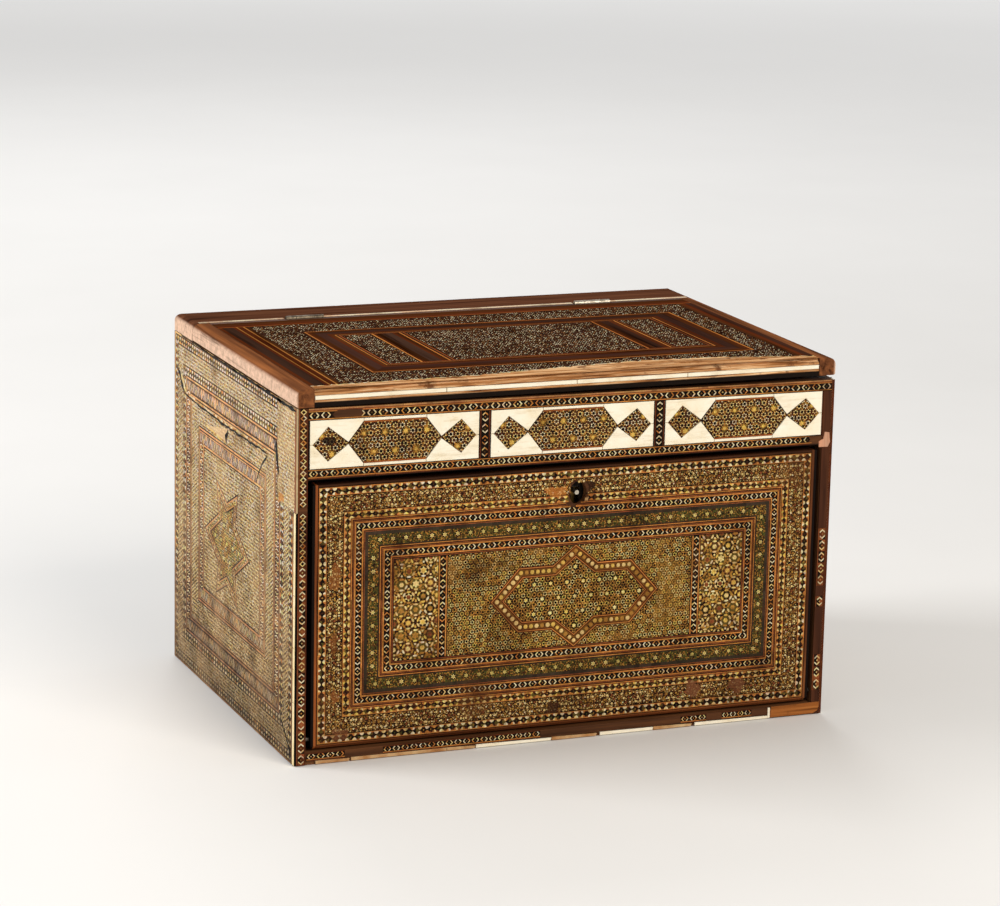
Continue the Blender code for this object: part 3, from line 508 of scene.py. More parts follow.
def lattice(length, width, side, shift):
    """Triangles of an equilateral lattice that cover a rectangle, and their middles measured in sides."""
    rise = side * ROOT3 / 2
    rows = np.arange(math.floor((0 - shift[1]) / rise), math.ceil((width - shift[1]) / rise - TINY))
    count = math.ceil(length / side) + 2
    first = np.floor(-shift[0] / side - rows / 2) - 1
    i = (first[:, None] + np.arange(count)[None]).ravel()
    j = np.repeat(rows, count).astype(float)

    def corner(right, up):
        return np.column_stack((i + right + (j + up) / 2, (j + up) * ROOT3 / 2))

    rising = np.stack((corner(0, 0), corner(1, 0), corner(0, 1)), 1)
    falling = np.stack((corner(1, 0), corner(1, 1), corner(0, 1)), 1)
    triangles = np.concatenate((rising, falling))
    return triangles * side + np.asarray(shift), triangles.mean(1)


def nearest_rosette(middles, period):
    """How far each middle is from the nearest rosette's centre, in sides, and that rosette's place."""
    up = middles[:, 1] / (ROOT3 / 2)
    along = middles[:, 0] - up / 2
    best = np.full(len(middles), np.inf)
    place = np.zeros((len(middles), 2), int)
    for step in ((0, 0), (1, 0), (0, 1), (1, 1)):
        cell = np.floor(np.column_stack((along, up)) / period).astype(int) + step
        centre = np.column_stack((cell[:, 0] + cell[:, 1] / 2, cell[:, 1] * ROOT3 / 2)) * period
        distance = np.linalg.norm(middles - centre, axis=1)
        closer = distance < best
        best[closer] = distance[closer]
        place[closer] = cell[closer]
    return best, place


def row_rosette(middles, period):
    """As nearest_rosette, for one row of rosettes along the middle of a band."""
    number = np.round(middles[:, 0] / period).astype(int)
    distance = np.hypot(middles[:, 0] - number * period, middles[:, 1])
    return distance, np.column_stack((number, np.zeros(len(number), int)))


def ring_paints(sheet, distance, place, rings, loose):
    """Paint numbers by ring: one pick for each ring of a rosette, or for each tile from the loose ring on."""
    ring = np.minimum(np.searchsorted(RING_EDGES, distance), len(rings) - 1)
    _, number = np.unique(place, axis=0, return_inverse=True)
    picks = sheet.random.integers(0, PICKS, (number.max() + 1, len(rings)))[number.reshape(-1), ring]
    picks = np.where(ring >= loose, sheet.random.integers(0, PICKS, len(ring)), picks)
    paints = np.zeros(len(ring), int)
    for level, names in enumerate(rings):
        numbers = paint_numbers(names)
        here = ring == level
        paints[here] = numbers[picks[here] % len(numbers)]
    return paints


def clip_polygon(corners, region):
    """A polygon cut to a convex region whose corners run anticlockwise."""
    for k in range(len(region)):
        (ax, ay), (bx, by) = region[k - 1], region[k]
        kept = []
        sides = [(bx - ax) * (y - ay) - (by - ay) * (x - ax) for x, y in corners]
        for m, (x, y) in enumerate(corners):
            before = sides[m - 1]
            if (before < 0) != (sides[m] < 0):
                share = before / (before - sides[m])
                px, py = corners[m - 1]
                kept.append((px + (x - px) * share, py + (y - py) * share))
            if sides[m] >= 0:
                kept.append((x, y))
        corners = kept
        if len(corners) < 3:
            return []
    return corners


def add_clipped(sheet, polygons, paints, region, place):
    """Adds the polygons that lie in a convex region, cutting those that cross its edge."""
    region = np.asarray(region, float)
    edges = region - np.roll(region, 1, 0)
    away = polygons[:, :, None] - np.roll(region, 1, 0)[None, None]
    side = edges[:, 0] * away[..., 1] - edges[:, 1] * away[..., 0]
    inside = (side > -TINY).all((1, 2))
    outside = (side < TINY).all(1).any(1)
    sheet.add(place(polygons[inside]), paints[inside])
    ring = [tuple(point) for point in region]
    for number in np.nonzero(~inside & ~outside)[0]:
        kept = clip_polygon([tuple(point) for point in polygons[number]], ring)
        if not kept:
            continue
        points = np.array(kept)
        area = abs(np.cross(points[1:-1] - points[0], points[2:] - points[0]).sum()) / 2
        if area > SMALLEST_TILE:
            sheet.add(place(points[None]), paints[number:number + 1])


def rosette_field(sheet, run, weave, rings, flowers=None, region=None, one_row=False, loose=2):
    """Fills a run, or a convex region in it, with rosettes of triangles.

    Gives the distance between two rosettes and the place that the pattern is centred on.
    """
    side, period = weave
    rows = max(2, round(run.width / (side * ROOT3 / 2)))
    if one_row:
        rows += rows % 2
    side = run.width / rows / (ROOT3 / 2)
    shift = (run.length / 2, run.width / 2 if rows % 2 == 0 else run.width / 2 - side * ROOT3 / 4)
    triangles, middles = lattice(run.length, run.width, side, shift)
    distance, place = (row_rosette if one_row else nearest_rosette)(middles, period)
    paints = ring_paints(sheet, distance, place, rings, loose)
    if flowers:
        bloom = (place % FLOWER_STEP == 0).all(1)
        paints = np.where(bloom, ring_paints(sheet, distance, place, flowers, loose), paints)
    add_clipped(sheet, triangles, paints, region or run.whole(), run.place)
    return side * period, np.array(shift)


# Leaves of the coarse panels, each drawn along one edge of a hexagon: shares of the edge and of the width
LEAF_OUTLINE = ((0.1, 0), (0.34, -1), (0.66, -1), (0.9, 0), (0.66, 1), (0.34, 1))
LEAF_PAINTS = "cream bone cream brass gold"
LEAF_RING = 0.84
LEAF_WIDTH = 0.145
DOT_RADIUS = 0.15


def leaf_net(sheet, run, spacing, shift):
    """Pale leaves along the edges of the hexagons round rosettes, and a dot where three rosettes meet."""
    side = spacing / 2
    reach = int(max(run.length, run.width) / spacing) + 2
    steps = np.arange(-reach, reach + 1)
    i, j = (grid.ravel() for grid in np.meshgrid(steps, steps))
    centres = np.column_stack((i + j / 2, j * ROOT3 / 2)) * spacing + shift
    polygons = []
    for k in range(6):
        start, end = (LEAF_RING * side * np.array((math.cos(turn), math.sin(turn)))
                      for turn in (math.radians(60 * k), math.radians(60 * k + 60)))
        edge = end - start
        across = np.array((-edge[1], edge[0])) * LEAF_WIDTH
        leaf = [start + share * edge + way * across for share, way in LEAF_OUTLINE]
        polygons.append(centres[:, None] + np.array(leaf)[None])
    ring = side * DOT_RADIUS * HEXAGON
    for offset in ((side, side / ROOT3), (0.0, spacing / ROOT3)):
        polygons.append(centres[:, None] + np.array(offset) + ring[None])
    polygons = np.concatenate(polygons)
    add_clipped(sheet, polygons, sheet.choose(LEAF_PAINTS, len(polygons)), run.whole(), run.place)


WHITE_DOT_STEP = 5.2
WHITE_DOT_RADIUS = 0.5
WHITE_DOT_ROWS = (0.2, 0.8)
WHITE_DOT_STRAY = 0.18


def mosaic_band(sheet, run):
    """Dark fine mosaic, with white dots in two rows on the raised sheet above it."""
    rosette_field(sheet, run, BAND_WEAVE, MIXED_RINGS)
    if sheet.raised:
        count = max(1, round(run.length / WHITE_DOT_STEP))
        along = (np.arange(count) + 0.5) * run.length / count
        for share in WHITE_DOT_ROWS:
            places = np.column_stack((along, np.full(count, share * run.width)))
            places = places + sheet.random.normal(0, WHITE_DOT_STRAY, places.shape)
            dots = run.place(places[:, None] + WHITE_DOT_RADIUS * HEXAGON[None])
            sheet.raised.add(dots, sheet.choose("bone cream bone", count))


def side_field(sheet, run):
    """The paler mosaic of the sides, where each triangle has its own pick of paint."""
    rosette_field(sheet, run, SIDE_WEAVE, SIDE_RINGS, loose=0)


def rosette_row(sheet, run):
    """One row of large green rosettes."""
    rosette_field(sheet, run, ROW_WEAVE, GREEN_RINGS, one_row=True, loose=3)


FIELD_BANDS = {"mosaic": mosaic_band, "side_mosaic": side_field, "rosettes": rosette_row}


def draw_band(sheet, kind, run):
    """Fills a run with the pattern of a kind, or with a plain line where the kind is a paint."""
    if kind in CELL_BANDS:
        repeat_cells(sheet, run, *CELL_BANDS[kind])
    elif kind in FIELD_BANDS:
        FIELD_BANDS[kind](sheet, run)
    else:
        stringing(sheet, run, kind)


def frame_bands(sheet, box, bands, stretch=(1.0, 1.0, 1.0, 1.0)):
    """Draws bands round a rectangle, from its edge inwards, and gives the rectangle that is left.

    The stretch scales the widths at the left, at the bottom, at the right and at the top.
    """
    left, low, right, high = box
    for kind, width in bands:
        near, up, far, down = (width * share for share in stretch)
        draw_band(sheet, kind, Run(left, low, right, low + up, False))
        draw_band(sheet, kind, Run(left, high - down, right, high, False))
        draw_band(sheet, kind, Run(left, low + up, left + near, high - down, True))
        draw_band(sheet, kind, Run(right - far, low + up, right, high - down, True))
        left, low, right, high = left + near, low + up, right - far, high - down
    return left, low, right, high


def upright_lines(sheet, left, low, high, lines):
    """Upright bands side by side from left to right, and where they end."""
    for kind, width in lines:
        draw_band(sheet, kind, Run(left, low, left + width, high, True))
        left += width
    return left


def level_lines(sheet, left, right, low, lines):
    """Level bands one above the other."""
    for kind, width in lines:
        draw_band(sheet, kind, Run(left, low, right, low + width, False))
        low += width


CRACK_STEP = 4.0
CRACK_WIDTHS = (0.5, 1.2)
CRACK_TIP = 0.2


def crack(sheet, points, width, paints, waver):
    """A ragged line through some points that thins out at its ends: a crack, a gap or a broken edge."""
    line = []
    for (ax, ay), (bx, by) in zip(points, points[1:]):
        steps = max(1, round(math.hypot(bx - ax, by - ay) / CRACK_STEP))
        line += [(ax + (bx - ax) * k / steps, ay + (by - ay) * k / steps) for k in range(steps)]
    line = np.array(line + [points[-1]])
    along = np.gradient(line, axis=0)
    along /= np.linalg.norm(along, axis=1)[:, None]
    across = np.column_stack((-along[:, 1], along[:, 0]))
    line = line + across * sheet.random.normal(0, waver * width, (len(line), 1))
    half = width / 2 * sheet.random.uniform(*CRACK_WIDTHS, (len(line), 1))
    half[[0, -1]] *= CRACK_TIP
    sheet.add(strips(line - across * half, line + across * half), sheet.choose(paints, len(line) - 1))


# Solid slabs: bone plates, blocks and chips

CAD_VENEER = 1.2


class Slabs:
    """Flat solids with softened upper edges, gathered into one piece on a face."""

    def __init__(self, face):
        self.face = face
        self.places = []
        self.faces = []

    def add(self, outline, low, high, soften=0.2):
        """Adds a slab between two heights over an anticlockwise outline."""
        rings = [(outline, low), (outline, high - soften), (inset(outline, soften), high)]
        count = len(outline)
        start = len(self.places)
        for ring, height in rings:
            self.places.extend(self.face.place(np.array(ring, float), height).tolist())
        for level in range(len(rings) - 1):
            below, above = start + level * count, start + (level + 1) * count
            for k in range(count):
                n = (k + 1) % count
                self.faces.append((below + k, below + n, above + n, above + k))
        top = start + (len(rings) - 1) * count
        for a, b, c in tessellate_polygon([[Vector((x, y, 0)) for x, y in outline]]):
            first, second, third = (Vector(outline[n]) for n in (a, b, c))
            if (second - first).cross(third - first) <= 0:
                b, c = c, b
            self.faces.append((top + a, top + b, top + c))
            self.faces.append((start + a, start + c, start + b))

    def build(self, name, body, material, slot):
        """Makes one mesh piece of all the slabs."""
        mesh = bpy.data.meshes.new(name)
        mesh.from_pydata(self.places, [], self.faces)
        mesh.validate()
        return add_piece(name, body, mesh, material)


# Materials

WHITE = (255, 255, 255)


class Graph:
    """A new material's node graph, with short ways to add and link nodes."""

    def __init__(self, name):
        self.material = bpy.data.materials.new(name)
        self.material.use_nodes = True
        self.tree = self.material.node_tree

    def put(self, entry, value):
        """Links an input to a socket, or sets it to a value."""
        if isinstance(value, bpy.types.NodeSocket):
            self.tree.links.new(value, entry)
        else:
            entry.default_value = value

    def add(self, kind, inputs=None, **settings):
        """A new node with some settings of its own, and its inputs linked or set."""
        node = self.tree.nodes.new("ShaderNode" + kind)
        for name, value in settings.items():
            setattr(node, name, value)
        for name, value in (inputs or {}).items():
            self.put(node.inputs[name], value)
        return node

    def where(self):
        """The place in the frame's own coordinates."""
        return self.add("TexCoord").outputs["Object"]

    def noise(self, scale, detail, stretch=(1, 1, 1), roughness=0.6, distortion=0.0):
        """A noise texture in cycles per metre."""
        mapping = self.add("Mapping", {"Vector": self.where(), "Scale": stretch})
        texture = self.add("TexNoise", {
            "Vector": mapping.outputs["Vector"], "Scale": scale, "Detail": detail, "Roughness": roughness,
            "Distortion": distortion})
        return texture.outputs["Fac"]

    def ramp(self, factor, *stops):
        """A colour ramp over a factor: stops are a position and an sRGB colour."""
        node = self.add("ValToRGB", {"Fac": factor})
        points = node.color_ramp.elements
        while len(points) < len(stops):
            points.new(0.5)
        for point, (position, colour) in zip(points, stops):
            point.position = position
            point.color = (*linear(colour), 1)
        return node.outputs["Color"]

    def level(self, factor, low, high, start=0.3, end=0.7):
        """A factor mapped to a range of numbers."""
        node = self.add("MapRange", {
            "Value": factor, "From Min": start, "From Max": end, "To Min": low, "To Max": high})
        return node.outputs["Result"]

    def blend(self, kind, factor, first, second):
        """Two colours mixed, each given as a socket or an sRGB colour."""
        first, second = ((*linear(colour), 1) if isinstance(colour, tuple) else colour
                         for colour in (first, second))
        inputs = {"Factor": factor, 6: first, 7: second}
        return self.add("Mix", inputs, data_type="RGBA", blend_type=kind).outputs[2]

    def bump(self, height, strength, depth):
        """A normal that follows a height."""
        node = self.add("Bump", {"Height": height, "Strength": strength, "Distance": depth})
        return node.outputs["Normal"]

    def tile(self, name, output):
        """What the mesh stores at its corners under a name."""
        return self.add("Attribute", attribute_name=name).outputs[output]

    def calculate(self, operation, first, second):
        """One Math node on two linked values."""
        return self.add("Math", {0: first, 1: second}, operation=operation).outputs["Value"]

    def finish(self, inputs):
        """Links or sets the shader's inputs, and gives the material."""
        shader = self.tree.nodes["Principled BSDF"]
        for name, value in inputs.items():
            self.put(shader.inputs[name], value)
        return self.material


def khatam_material(name, gloss, varnish):
    """Mosaic: each tile's own colour, dulled by dirt, under an uneven old varnish."""
    graph = Graph(name)
    grain = graph.noise(1400, 3)
    shade = graph.ramp(grain, (0.25, (182, 170, 152)), (0.75, varnish))
    colour = graph.blend("MULTIPLY", 1.0, graph.tile("tile_colour", "Color"), shade)
    dirt = graph.ramp(graph.noise(38, 5), (0.5, WHITE), (0.78, (158, 134, 108)))
    return graph.finish({
        "Base Color": graph.blend("MULTIPLY", 1.0, colour, dirt),
        "Metallic": graph.level(graph.tile("tile_metal", "Fac"), 0.0, 0.2, 0, 1),
        "Roughness": graph.level(graph.noise(160, 4), 0.34, 0.6),
        "Normal": graph.bump(grain, 0.35, 0.0002),
        "Specular IOR Level": gloss,
    })


# Cycles per metre across and along the grain of wood, for its fine streaks and its broad bands
STREAK_CYCLES = (230, 9)
BAND_CYCLES = (46, 4)
WOOD_ROUGHNESS = (0.38, 0.62)
EDGE_SHADOW = 0.8


def grain_cycles(cycles, axis, scale):
    """Cycles per metre along x, y and z for a grain that runs along one axis."""
    across, along = cycles
    return tuple((along if k == axis else across) * scale for k in range(3))


def edge_wear_and_light(graph, colour, axis, start, end, paint):
    """A colour that goes over to a paint from one place along an axis to another, for wear and for painted
    sheen and shadow at edges.
    """
    place = graph.add("SeparateXYZ", {"Vector": graph.where()}).outputs[axis]
    share = graph.level(place, 0.0, 1.0, start, end)
    shadow = tuple(EDGE_SHADOW * value for value in paint)
    tone = graph.ramp(graph.noise(260, 6, roughness=0.7), (0.34, shadow), (0.6, paint))
    return graph.blend("MIX", share, colour, tone)


def wood_material(name, shades, axis, scale=1.0, worn=None, own_colour=False, gloss=0.05, edge=None,
                  softness=1.0):
    """Wood with its grain along one axis: streaks, broader bands, pores, worn patches and an edge colour.

    The edge is an axis, the places where it starts and is complete, and its colour, which is dust with
    painted sheen on some pieces and painted shadow on others.
    A lower softness gives streaks of more contrast.
    """
    graph = Graph(name)
    dark, middle, light = shades
    streaks = graph.noise(1.0, 7, grain_cycles(STREAK_CYCLES, axis, scale), 0.62, 0.5)
    bands = graph.noise(1.0, 4, grain_cycles(BAND_CYCLES, axis, scale), 0.55, 1.2)
    colour = graph.ramp(streaks, (0.5 - 0.2 * softness, dark), (0.5, middle), (0.5 + 0.22 * softness, light))
    bands_colour = graph.ramp(bands, (0.32, dark), (0.55, middle), (0.7, light))
    colour = graph.blend("MIX", 0.45, colour, bands_colour)
    if own_colour:
        colour = graph.blend("MULTIPLY", 1.0, graph.tile("tile_colour", "Color"), colour)
    if worn:
        patches = graph.level(graph.noise(70, 6, roughness=0.7), 0.0, 0.85, 0.56, 0.66)
        colour = graph.blend("MIX", patches, colour, worn)
    if edge:
        colour = edge_wear_and_light(graph, colour, *edge)
    pores = graph.ramp(streaks, (0.3, (120, 112, 104)), (0.42, WHITE))
    return graph.finish({
        "Base Color": graph.blend("MULTIPLY", 0.7, colour, pores),
        "Roughness": graph.level(bands, *WOOD_ROUGHNESS),
        "Normal": graph.bump(streaks, 0.5, 0.0003),
        "Specular IOR Level": gloss,
    })


def bone_material(name, light, middle, stained):
    """Old bone: cream with yellow stains, faint streaks and small dark pits."""
    graph = Graph(name)
    stain = graph.noise(55, 5, roughness=0.65)
    colour = graph.ramp(stain, (0.3, light), (0.58, middle), (0.8, stained))
    streak = graph.noise(1.0, 5, (60, 420, 420), 0.6)
    lines = graph.ramp(streak, (0.28, (206, 190, 160)), (0.5, WHITE))
    colour = graph.blend("MULTIPLY", 0.45, colour, lines)
    pits = graph.level(graph.noise(620, 2), 0.0, 0.75, 0.7, 0.78)
    return graph.finish({
        "Base Color": graph.blend("MIX", pits, colour, (92, 68, 44)),
        "Roughness": graph.level(stain, 0.3, 0.5),
        "Normal": graph.bump(streak, 0.25, 0.0002),
        "Specular IOR Level": 0.3,
    })


def metal_material(name, bright, tarnish, rough=(0.28, 0.5)):
    """Old metal: bright where rubbed, tarnished in patches, finely scratched."""
    graph = Graph(name)
    patches = graph.noise(240, 6, roughness=0.7)
    scratches = graph.noise(1.0, 3, (300, 2600, 2600))
    return graph.finish({
        "Base Color": graph.ramp(patches, (0.35, bright), (0.7, tarnish)),
        "Metallic": 1.0,
        "Roughness": graph.level(patches, *rough),
        "Normal": graph.bump(scratches, 0.3, 0.0001),
    })


# Woods: a dark, a middle and a light shade
BOARD_WOOD = ((62, 38, 22), (98, 62, 37), (130, 87, 54))
GROUND_WOOD = ((38, 24, 15), (78, 48, 29), (112, 70, 40))
CLEAT_WOOD = ((54, 31, 19), (112, 68, 42), (174, 108, 60))
REAR_WOOD = ((50, 28, 19), (90, 55, 38), (124, 80, 55))
RED_WOOD = ((70, 36, 18), (148, 80, 38), (186, 112, 58))
BROWN_WOOD = ((40, 22, 12), (90, 50, 27), (134, 80, 42))
# Painted shade: near-black wood for the fall-front's top lipping, in the gap's shadow under the rail
SHADED_TOP_WOOD = ((24, 13, 8), (56, 31, 18), (92, 54, 30))
LOW_WOOD = ((48, 25, 14), (108, 58, 29), (154, 90, 46))
STRIP_WOOD = ((30, 16, 10), (72, 40, 25), (104, 60, 36))
BLOCK_WOOD = ((70, 38, 16), (150, 88, 40), (196, 132, 68))
CHIP_WOOD = ((104, 58, 38), (196, 136, 104), (232, 190, 158))
WORN_WOOD = ((92, 50, 24), (186, 128, 76), (250, 214, 166))
LINE_SHADES = ((150, 128, 114), (224, 208, 194), (255, 244, 232))
PATCH_WOOD = ((132, 104, 72), (186, 162, 124), (214, 196, 160))

# Edge colours: an axis, the places in metres where the colour starts and is complete, and the colour
# Dust with painted sheen on the pale outer ends of the lid's cleats and the rear rail
DUST_AND_SHEEN = (214, 178, 152)
# Painted shadow of the gaps between the fall-front's side lippings and the stiles
PAINTED_GAP_SHADOW = (20, 12, 8)
LID_BONE_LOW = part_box("lid_front_bone")[0].z
LEFT_END = (0, -0.1786, -0.17985, DUST_AND_SHEEN)
RIGHT_END = (0, 0.1786, 0.17985, DUST_AND_SHEEN)
FALL_LEFT_END = (0, -0.1670, -0.1674, PAINTED_GAP_SHADOW)
FALL_RIGHT_END = (0, 0.1680, 0.1684, PAINTED_GAP_SHADOW)
# Painted shadow on the lid's front lipping below its bone
SHADE_UNDER_LID_BONE = (2, LID_BONE_LOW - 0.0012, LID_BONE_LOW - 0.0018, (24, 15, 9))
WORN_GRAIN = {"scale": 2.6, "softness": 0.45}

KHATAM = khatam_material("khatam_tiles", 0.06, (255, 246, 230))
SIDE_KHATAM = khatam_material("side_khatam_tiles", 0.04, (255, 245, 234))
LID_KHATAM = khatam_material("lid_khatam_tiles", 0.0, (255, 250, 244))
GROUND = wood_material("khatam_ground", GROUND_WOOD, 0)
BOARD_X, BOARD_Y, BOARD_Z = (
    wood_material(f"board_along_{axis}", BOARD_WOOD, number) for number, axis in enumerate("xyz"))
# The cleats' and rear rail's outer ends take dust with painted sheen
LEFT_CLEAT = wood_material("left_cleat", CLEAT_WOOD, 1, gloss=0.0, edge=LEFT_END)
RIGHT_CLEAT = wood_material("right_cleat", CLEAT_WOOD, 1, gloss=0.0, edge=RIGHT_END)
REAR_RAIL = wood_material("rear_rail", REAR_WOOD, 0, gloss=0.0, edge=LEFT_END)
# The fall-front's side lippings are darkened at their outer edges with painted shadow of the gaps there
LEFT_LIPPING = wood_material("left_lipping", RED_WOOD, 2, edge=FALL_LEFT_END)
RIGHT_LIPPING = wood_material("right_lipping", BROWN_WOOD, 2, edge=FALL_RIGHT_END)
# The fall-front's top lipping is painted dark as shade
SHADED_TOP_LIPPING = wood_material("shaded_top_lipping", SHADED_TOP_WOOD, 0)
LOW_LIPPING = wood_material("low_lipping", LOW_WOOD, 0)
STILE_WOOD = wood_material("stile_wood", STRIP_WOOD, 2)
ORANGE_BLOCK = wood_material("orange_block", BLOCK_WOOD, 0, worn=(104, 60, 28))
PALE_CHIP = wood_material("pale_chip", CHIP_WOOD, 2, worn=(116, 64, 40))
# The worn ledge is darkened below the lid's bone with painted shadow
WORN_LEDGE = wood_material("worn_ledge", WORN_WOOD, 0, worn=(92, 50, 26), edge=SHADE_UNDER_LID_BONE, **WORN_GRAIN)
WORN_TOP = wood_material("worn_lid_edge", WORN_WOOD, 0, worn=(104, 58, 30), gloss=0.0, **WORN_GRAIN)
BANDS_X, BANDS_Y = (
    wood_material(f"bands_along_{axis}", LINE_SHADES, number, own_colour=True, gloss=0.0)
    for number, axis in enumerate("xy"))
PATCH = wood_material("pale_patch", PATCH_WOOD, 2, worn=(150, 120, 80))
BONE = bone_material("old_bone", (244, 237, 219), (238, 227, 201), (214, 190, 140))
STAINED_BONE = bone_material("stained_bone", (214, 186, 140), (168, 116, 66), (96, 58, 32))
YELLOW_BONE = bone_material("yellow_bone", (236, 218, 172), (226, 202, 148), (196, 162, 100))
SILVER = metal_material("hinge_silver", (216, 210, 194), (138, 122, 100))
TARNISHED = metal_material("tarnished_hinge", (128, 116, 98), (58, 48, 40), (0.4, 0.6))
# Old iron made near black for the lock case: painted shade inside the keyhole
KEYHOLE_SHADE_IRON = metal_material("keyhole_shade_iron", (40, 36, 32), (14, 11, 9), (0.5, 0.75))
IRON = metal_material("lock_iron", (112, 106, 98), (58, 46, 38), (0.4, 0.65))
BRASS = metal_material("lock_brass", (196, 158, 84), (116, 84, 46))

NODE_FINISHES = (
    (BOARD_X, "back_board bottom_board front_rail lid_board fall_board"),
    (BOARD_Y, "tray_floor"),
    (BOARD_Z, "left_side_board right_side_board left_fall_stop right_fall_stop"),
    (GROUND, "back_veneer left_side_veneer right_side_veneer left_side_star right_side_star fall_veneer"),
    (GROUND, "fall_star lid_veneer left_stile_strip rail_border bottom_edge_strip"),
    (GROUND, "rail_medallion_1 rail_medallion_2 rail_medallion_3"),
    (STILE_WOOD, "right_stile_strip"),
    (LEFT_CLEAT, "lid_left_cleat"),
    (RIGHT_CLEAT, "lid_right_cleat"),
    (REAR_RAIL, "rear_top_rail"),
    (SHADED_TOP_LIPPING, "fall_top_lipping"),
    (LOW_LIPPING, "fall_bottom_lipping"),
    (LEFT_LIPPING, "fall_left_lipping"),
    (RIGHT_LIPPING, "fall_right_lipping"),
    (WORN_LEDGE, "lid_front_lipping"),
    (PATCH, "left_corner_patch"),
    (BONE, "lid_front_bone bottom_bone_strip left_corner_bone right_corner_bone"),
    (BONE, "rail_bone_panel_1 rail_bone_panel_2 rail_bone_panel_3"),
    (TARNISHED, "left_hinge_fixed_leaf left_hinge_lid_leaf"),
    (SILVER, "right_hinge_fixed_leaf right_hinge_lid_leaf lock_drill_pin"),
    (KEYHOLE_SHADE_IRON, "lock_case"),
    (IRON, "left_hinge_pin right_hinge_pin left_pivot_pin right_pivot_pin lock_bolt strike_plate"),
    (IRON, "lock_nail_1 lock_nail_2 lock_nail_3 lock_nail_4"),
    (BRASS, "lock_cover lock_spring"),
)


def finish_cad_nodes():
    """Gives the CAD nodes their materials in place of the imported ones."""
    for material, names in NODE_FINISHES:
        for name in names.split():
            slots = NODES[name].data.materials
            slots.clear()
            slots.append(material)


def bone_pieces(name, body, face, outlines, level, material, node):
    """Butted pieces of bone in place of one plain node, as deep as the veneer and a little proud of it."""
    slabs = Slabs(face)
    for outline in outlines:
        slabs.add(outline, -CAD_VENEER, level)
    piece = slabs.build(name, body, material, "bone")
    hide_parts(node)


# Stars

def star_rings(sheet, outline, bands):
    """The lines of a star's border, as rings of quads from its outline inwards."""
    for paint, width in bands:
        inner = inset(outline, width)
        for k in range(len(outline) if paint else 0):
            n = (k + 1) % len(outline)
            quad = np.array([[outline[k], outline[n], inner[n], inner[k]]])
            sheet.add(quad, sheet.choose(paint, 1))
        outline = inner


def star_heart(face, seed, outline, weave):
    """A sheet with the rosettes and flowers inside a star."""
    heart = Sheet(face, seed)
    corners = np.array(outline)
    run = Run(*corners.min(0), *corners.max(0), False)
    rosette_field(heart, run, weave, STAR_RINGS, FLOWER_RINGS)
    inside = inside_outline(outline)
    heart.losses.append(lambda points: ~inside(points))
    return heart


# Fall-front

FALL_LOW, FALL_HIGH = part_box("fall_veneer")
FALL_FACE = front_face(*FALL_LOW)
FALL_SIZE = front_size(FALL_LOW, FALL_HIGH)
FALL_STRETCH = (1.0, 1.0, 0.955, 0.985)
FALL_STAR = mirrored([(57.2, 0.0), (38.2, 21.1), (15.5, 21.1), (0.0, 33.7)])
STAR_BAND = (
    ("maroon", 0.6), ("amber", 0.6), ("maroon", 0.6), ("bronze", 3.9), ("maroon", 0.6), ("amber", 0.5),
    ("maroon", 0.5),
)
FIELD_GAIN = 1.24
STAR_HEIGHT = SHEET_HEIGHT + 0.1
LEAF_HEIGHT = SHEET_HEIGHT + 0.06
EYE_HALF = (0.45, 1.6)
EYE_LEVEL = 0.05
KEYHOLE_LOSS = (6.4, 8.4)

# The fall-front's bands are darker low down: the shade at the edge, what a height adds to it, and its limit
LOW_SHADE = 0.8
SHADE_RISE = 0.2
SHADE_HEIGHT = 40
SHADE_TOP = 1.04

# Beads of the star's border: each a dome of rings, given as shares of its radius and of its rise
BEAD_RADIUS = 1.4
BEAD_STEP = 3.85
BEAD_SIDES = 10
BEAD_RINGS = ((1.0, 0.0), (0.86, 0.55), (0.5, 0.88))
BEAD_RISE = 0.35
BEAD_SIZES = (0.88, 1.06)
BEAD_SHADES = (0.86, 1.1)
BEAD_PAINTS = ("cream", "brass", "cream", "gold")

# Worn spots: the place along x and z, the half width and half height, the share and the colour
FALL_BROWN = (122, 78, 54)
FALL_ORANGE = (152, 94, 50)
FALL_WORN = (
    ((88.0, 25.1), (5.4, 4.9), 0.85, FALL_BROWN), ((119.1, 24.9), (5.4, 4.9), 0.85, FALL_BROWN),
    ((-150.2, 17.7), (5.5, 4.2), 0.7, FALL_BROWN), ((-8.6, 21.6), (4.0, 4.0), 0.8, (66, 40, 26)),
    ((-154.2, 117.9), (3.4, 8.6), 0.6, FALL_ORANGE), ((-154.7, 75.6), (2.6, 6.0), 0.55, FALL_ORANGE),
    ((-153.7, 41.8), (2.6, 4.0), 0.55, FALL_ORANGE), ((-9.6, 161.6), (8.0, 2.8), 0.62, (206, 132, 64)),
    ((12.4, 164.0), (3.6, 3.4), 0.85, (56, 34, 20)), ((9.8, 155.8), (2.8, 1.8), 0.85, (228, 198, 152)),
    ((69.0, 92.0), (10.0, 22.0), 0.22, (178, 138, 66)), ((-50.0, 118.0), (16.0, 7.0), 0.3, (80, 60, 30)),
)


def middle_on_fall(name):
    """The middle of a node's box, as a point on the fall-front."""
    low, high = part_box(name)
    return ((low.x + high.x) / 2 - FALL_LOW.x) / MM, ((low.z + high.z) / 2 - FALL_LOW.z) / MM


def beads_along(outline):
    """Places at an even step along each side of a closed outline."""
    places = []
    for k, end in enumerate(outline):
        start, end = Vector(outline[k - 1]), Vector(end)
        count = max(1, round((end - start).length / BEAD_STEP))
        places.extend(start.lerp(end, share / count) for share in range(count))
    return places


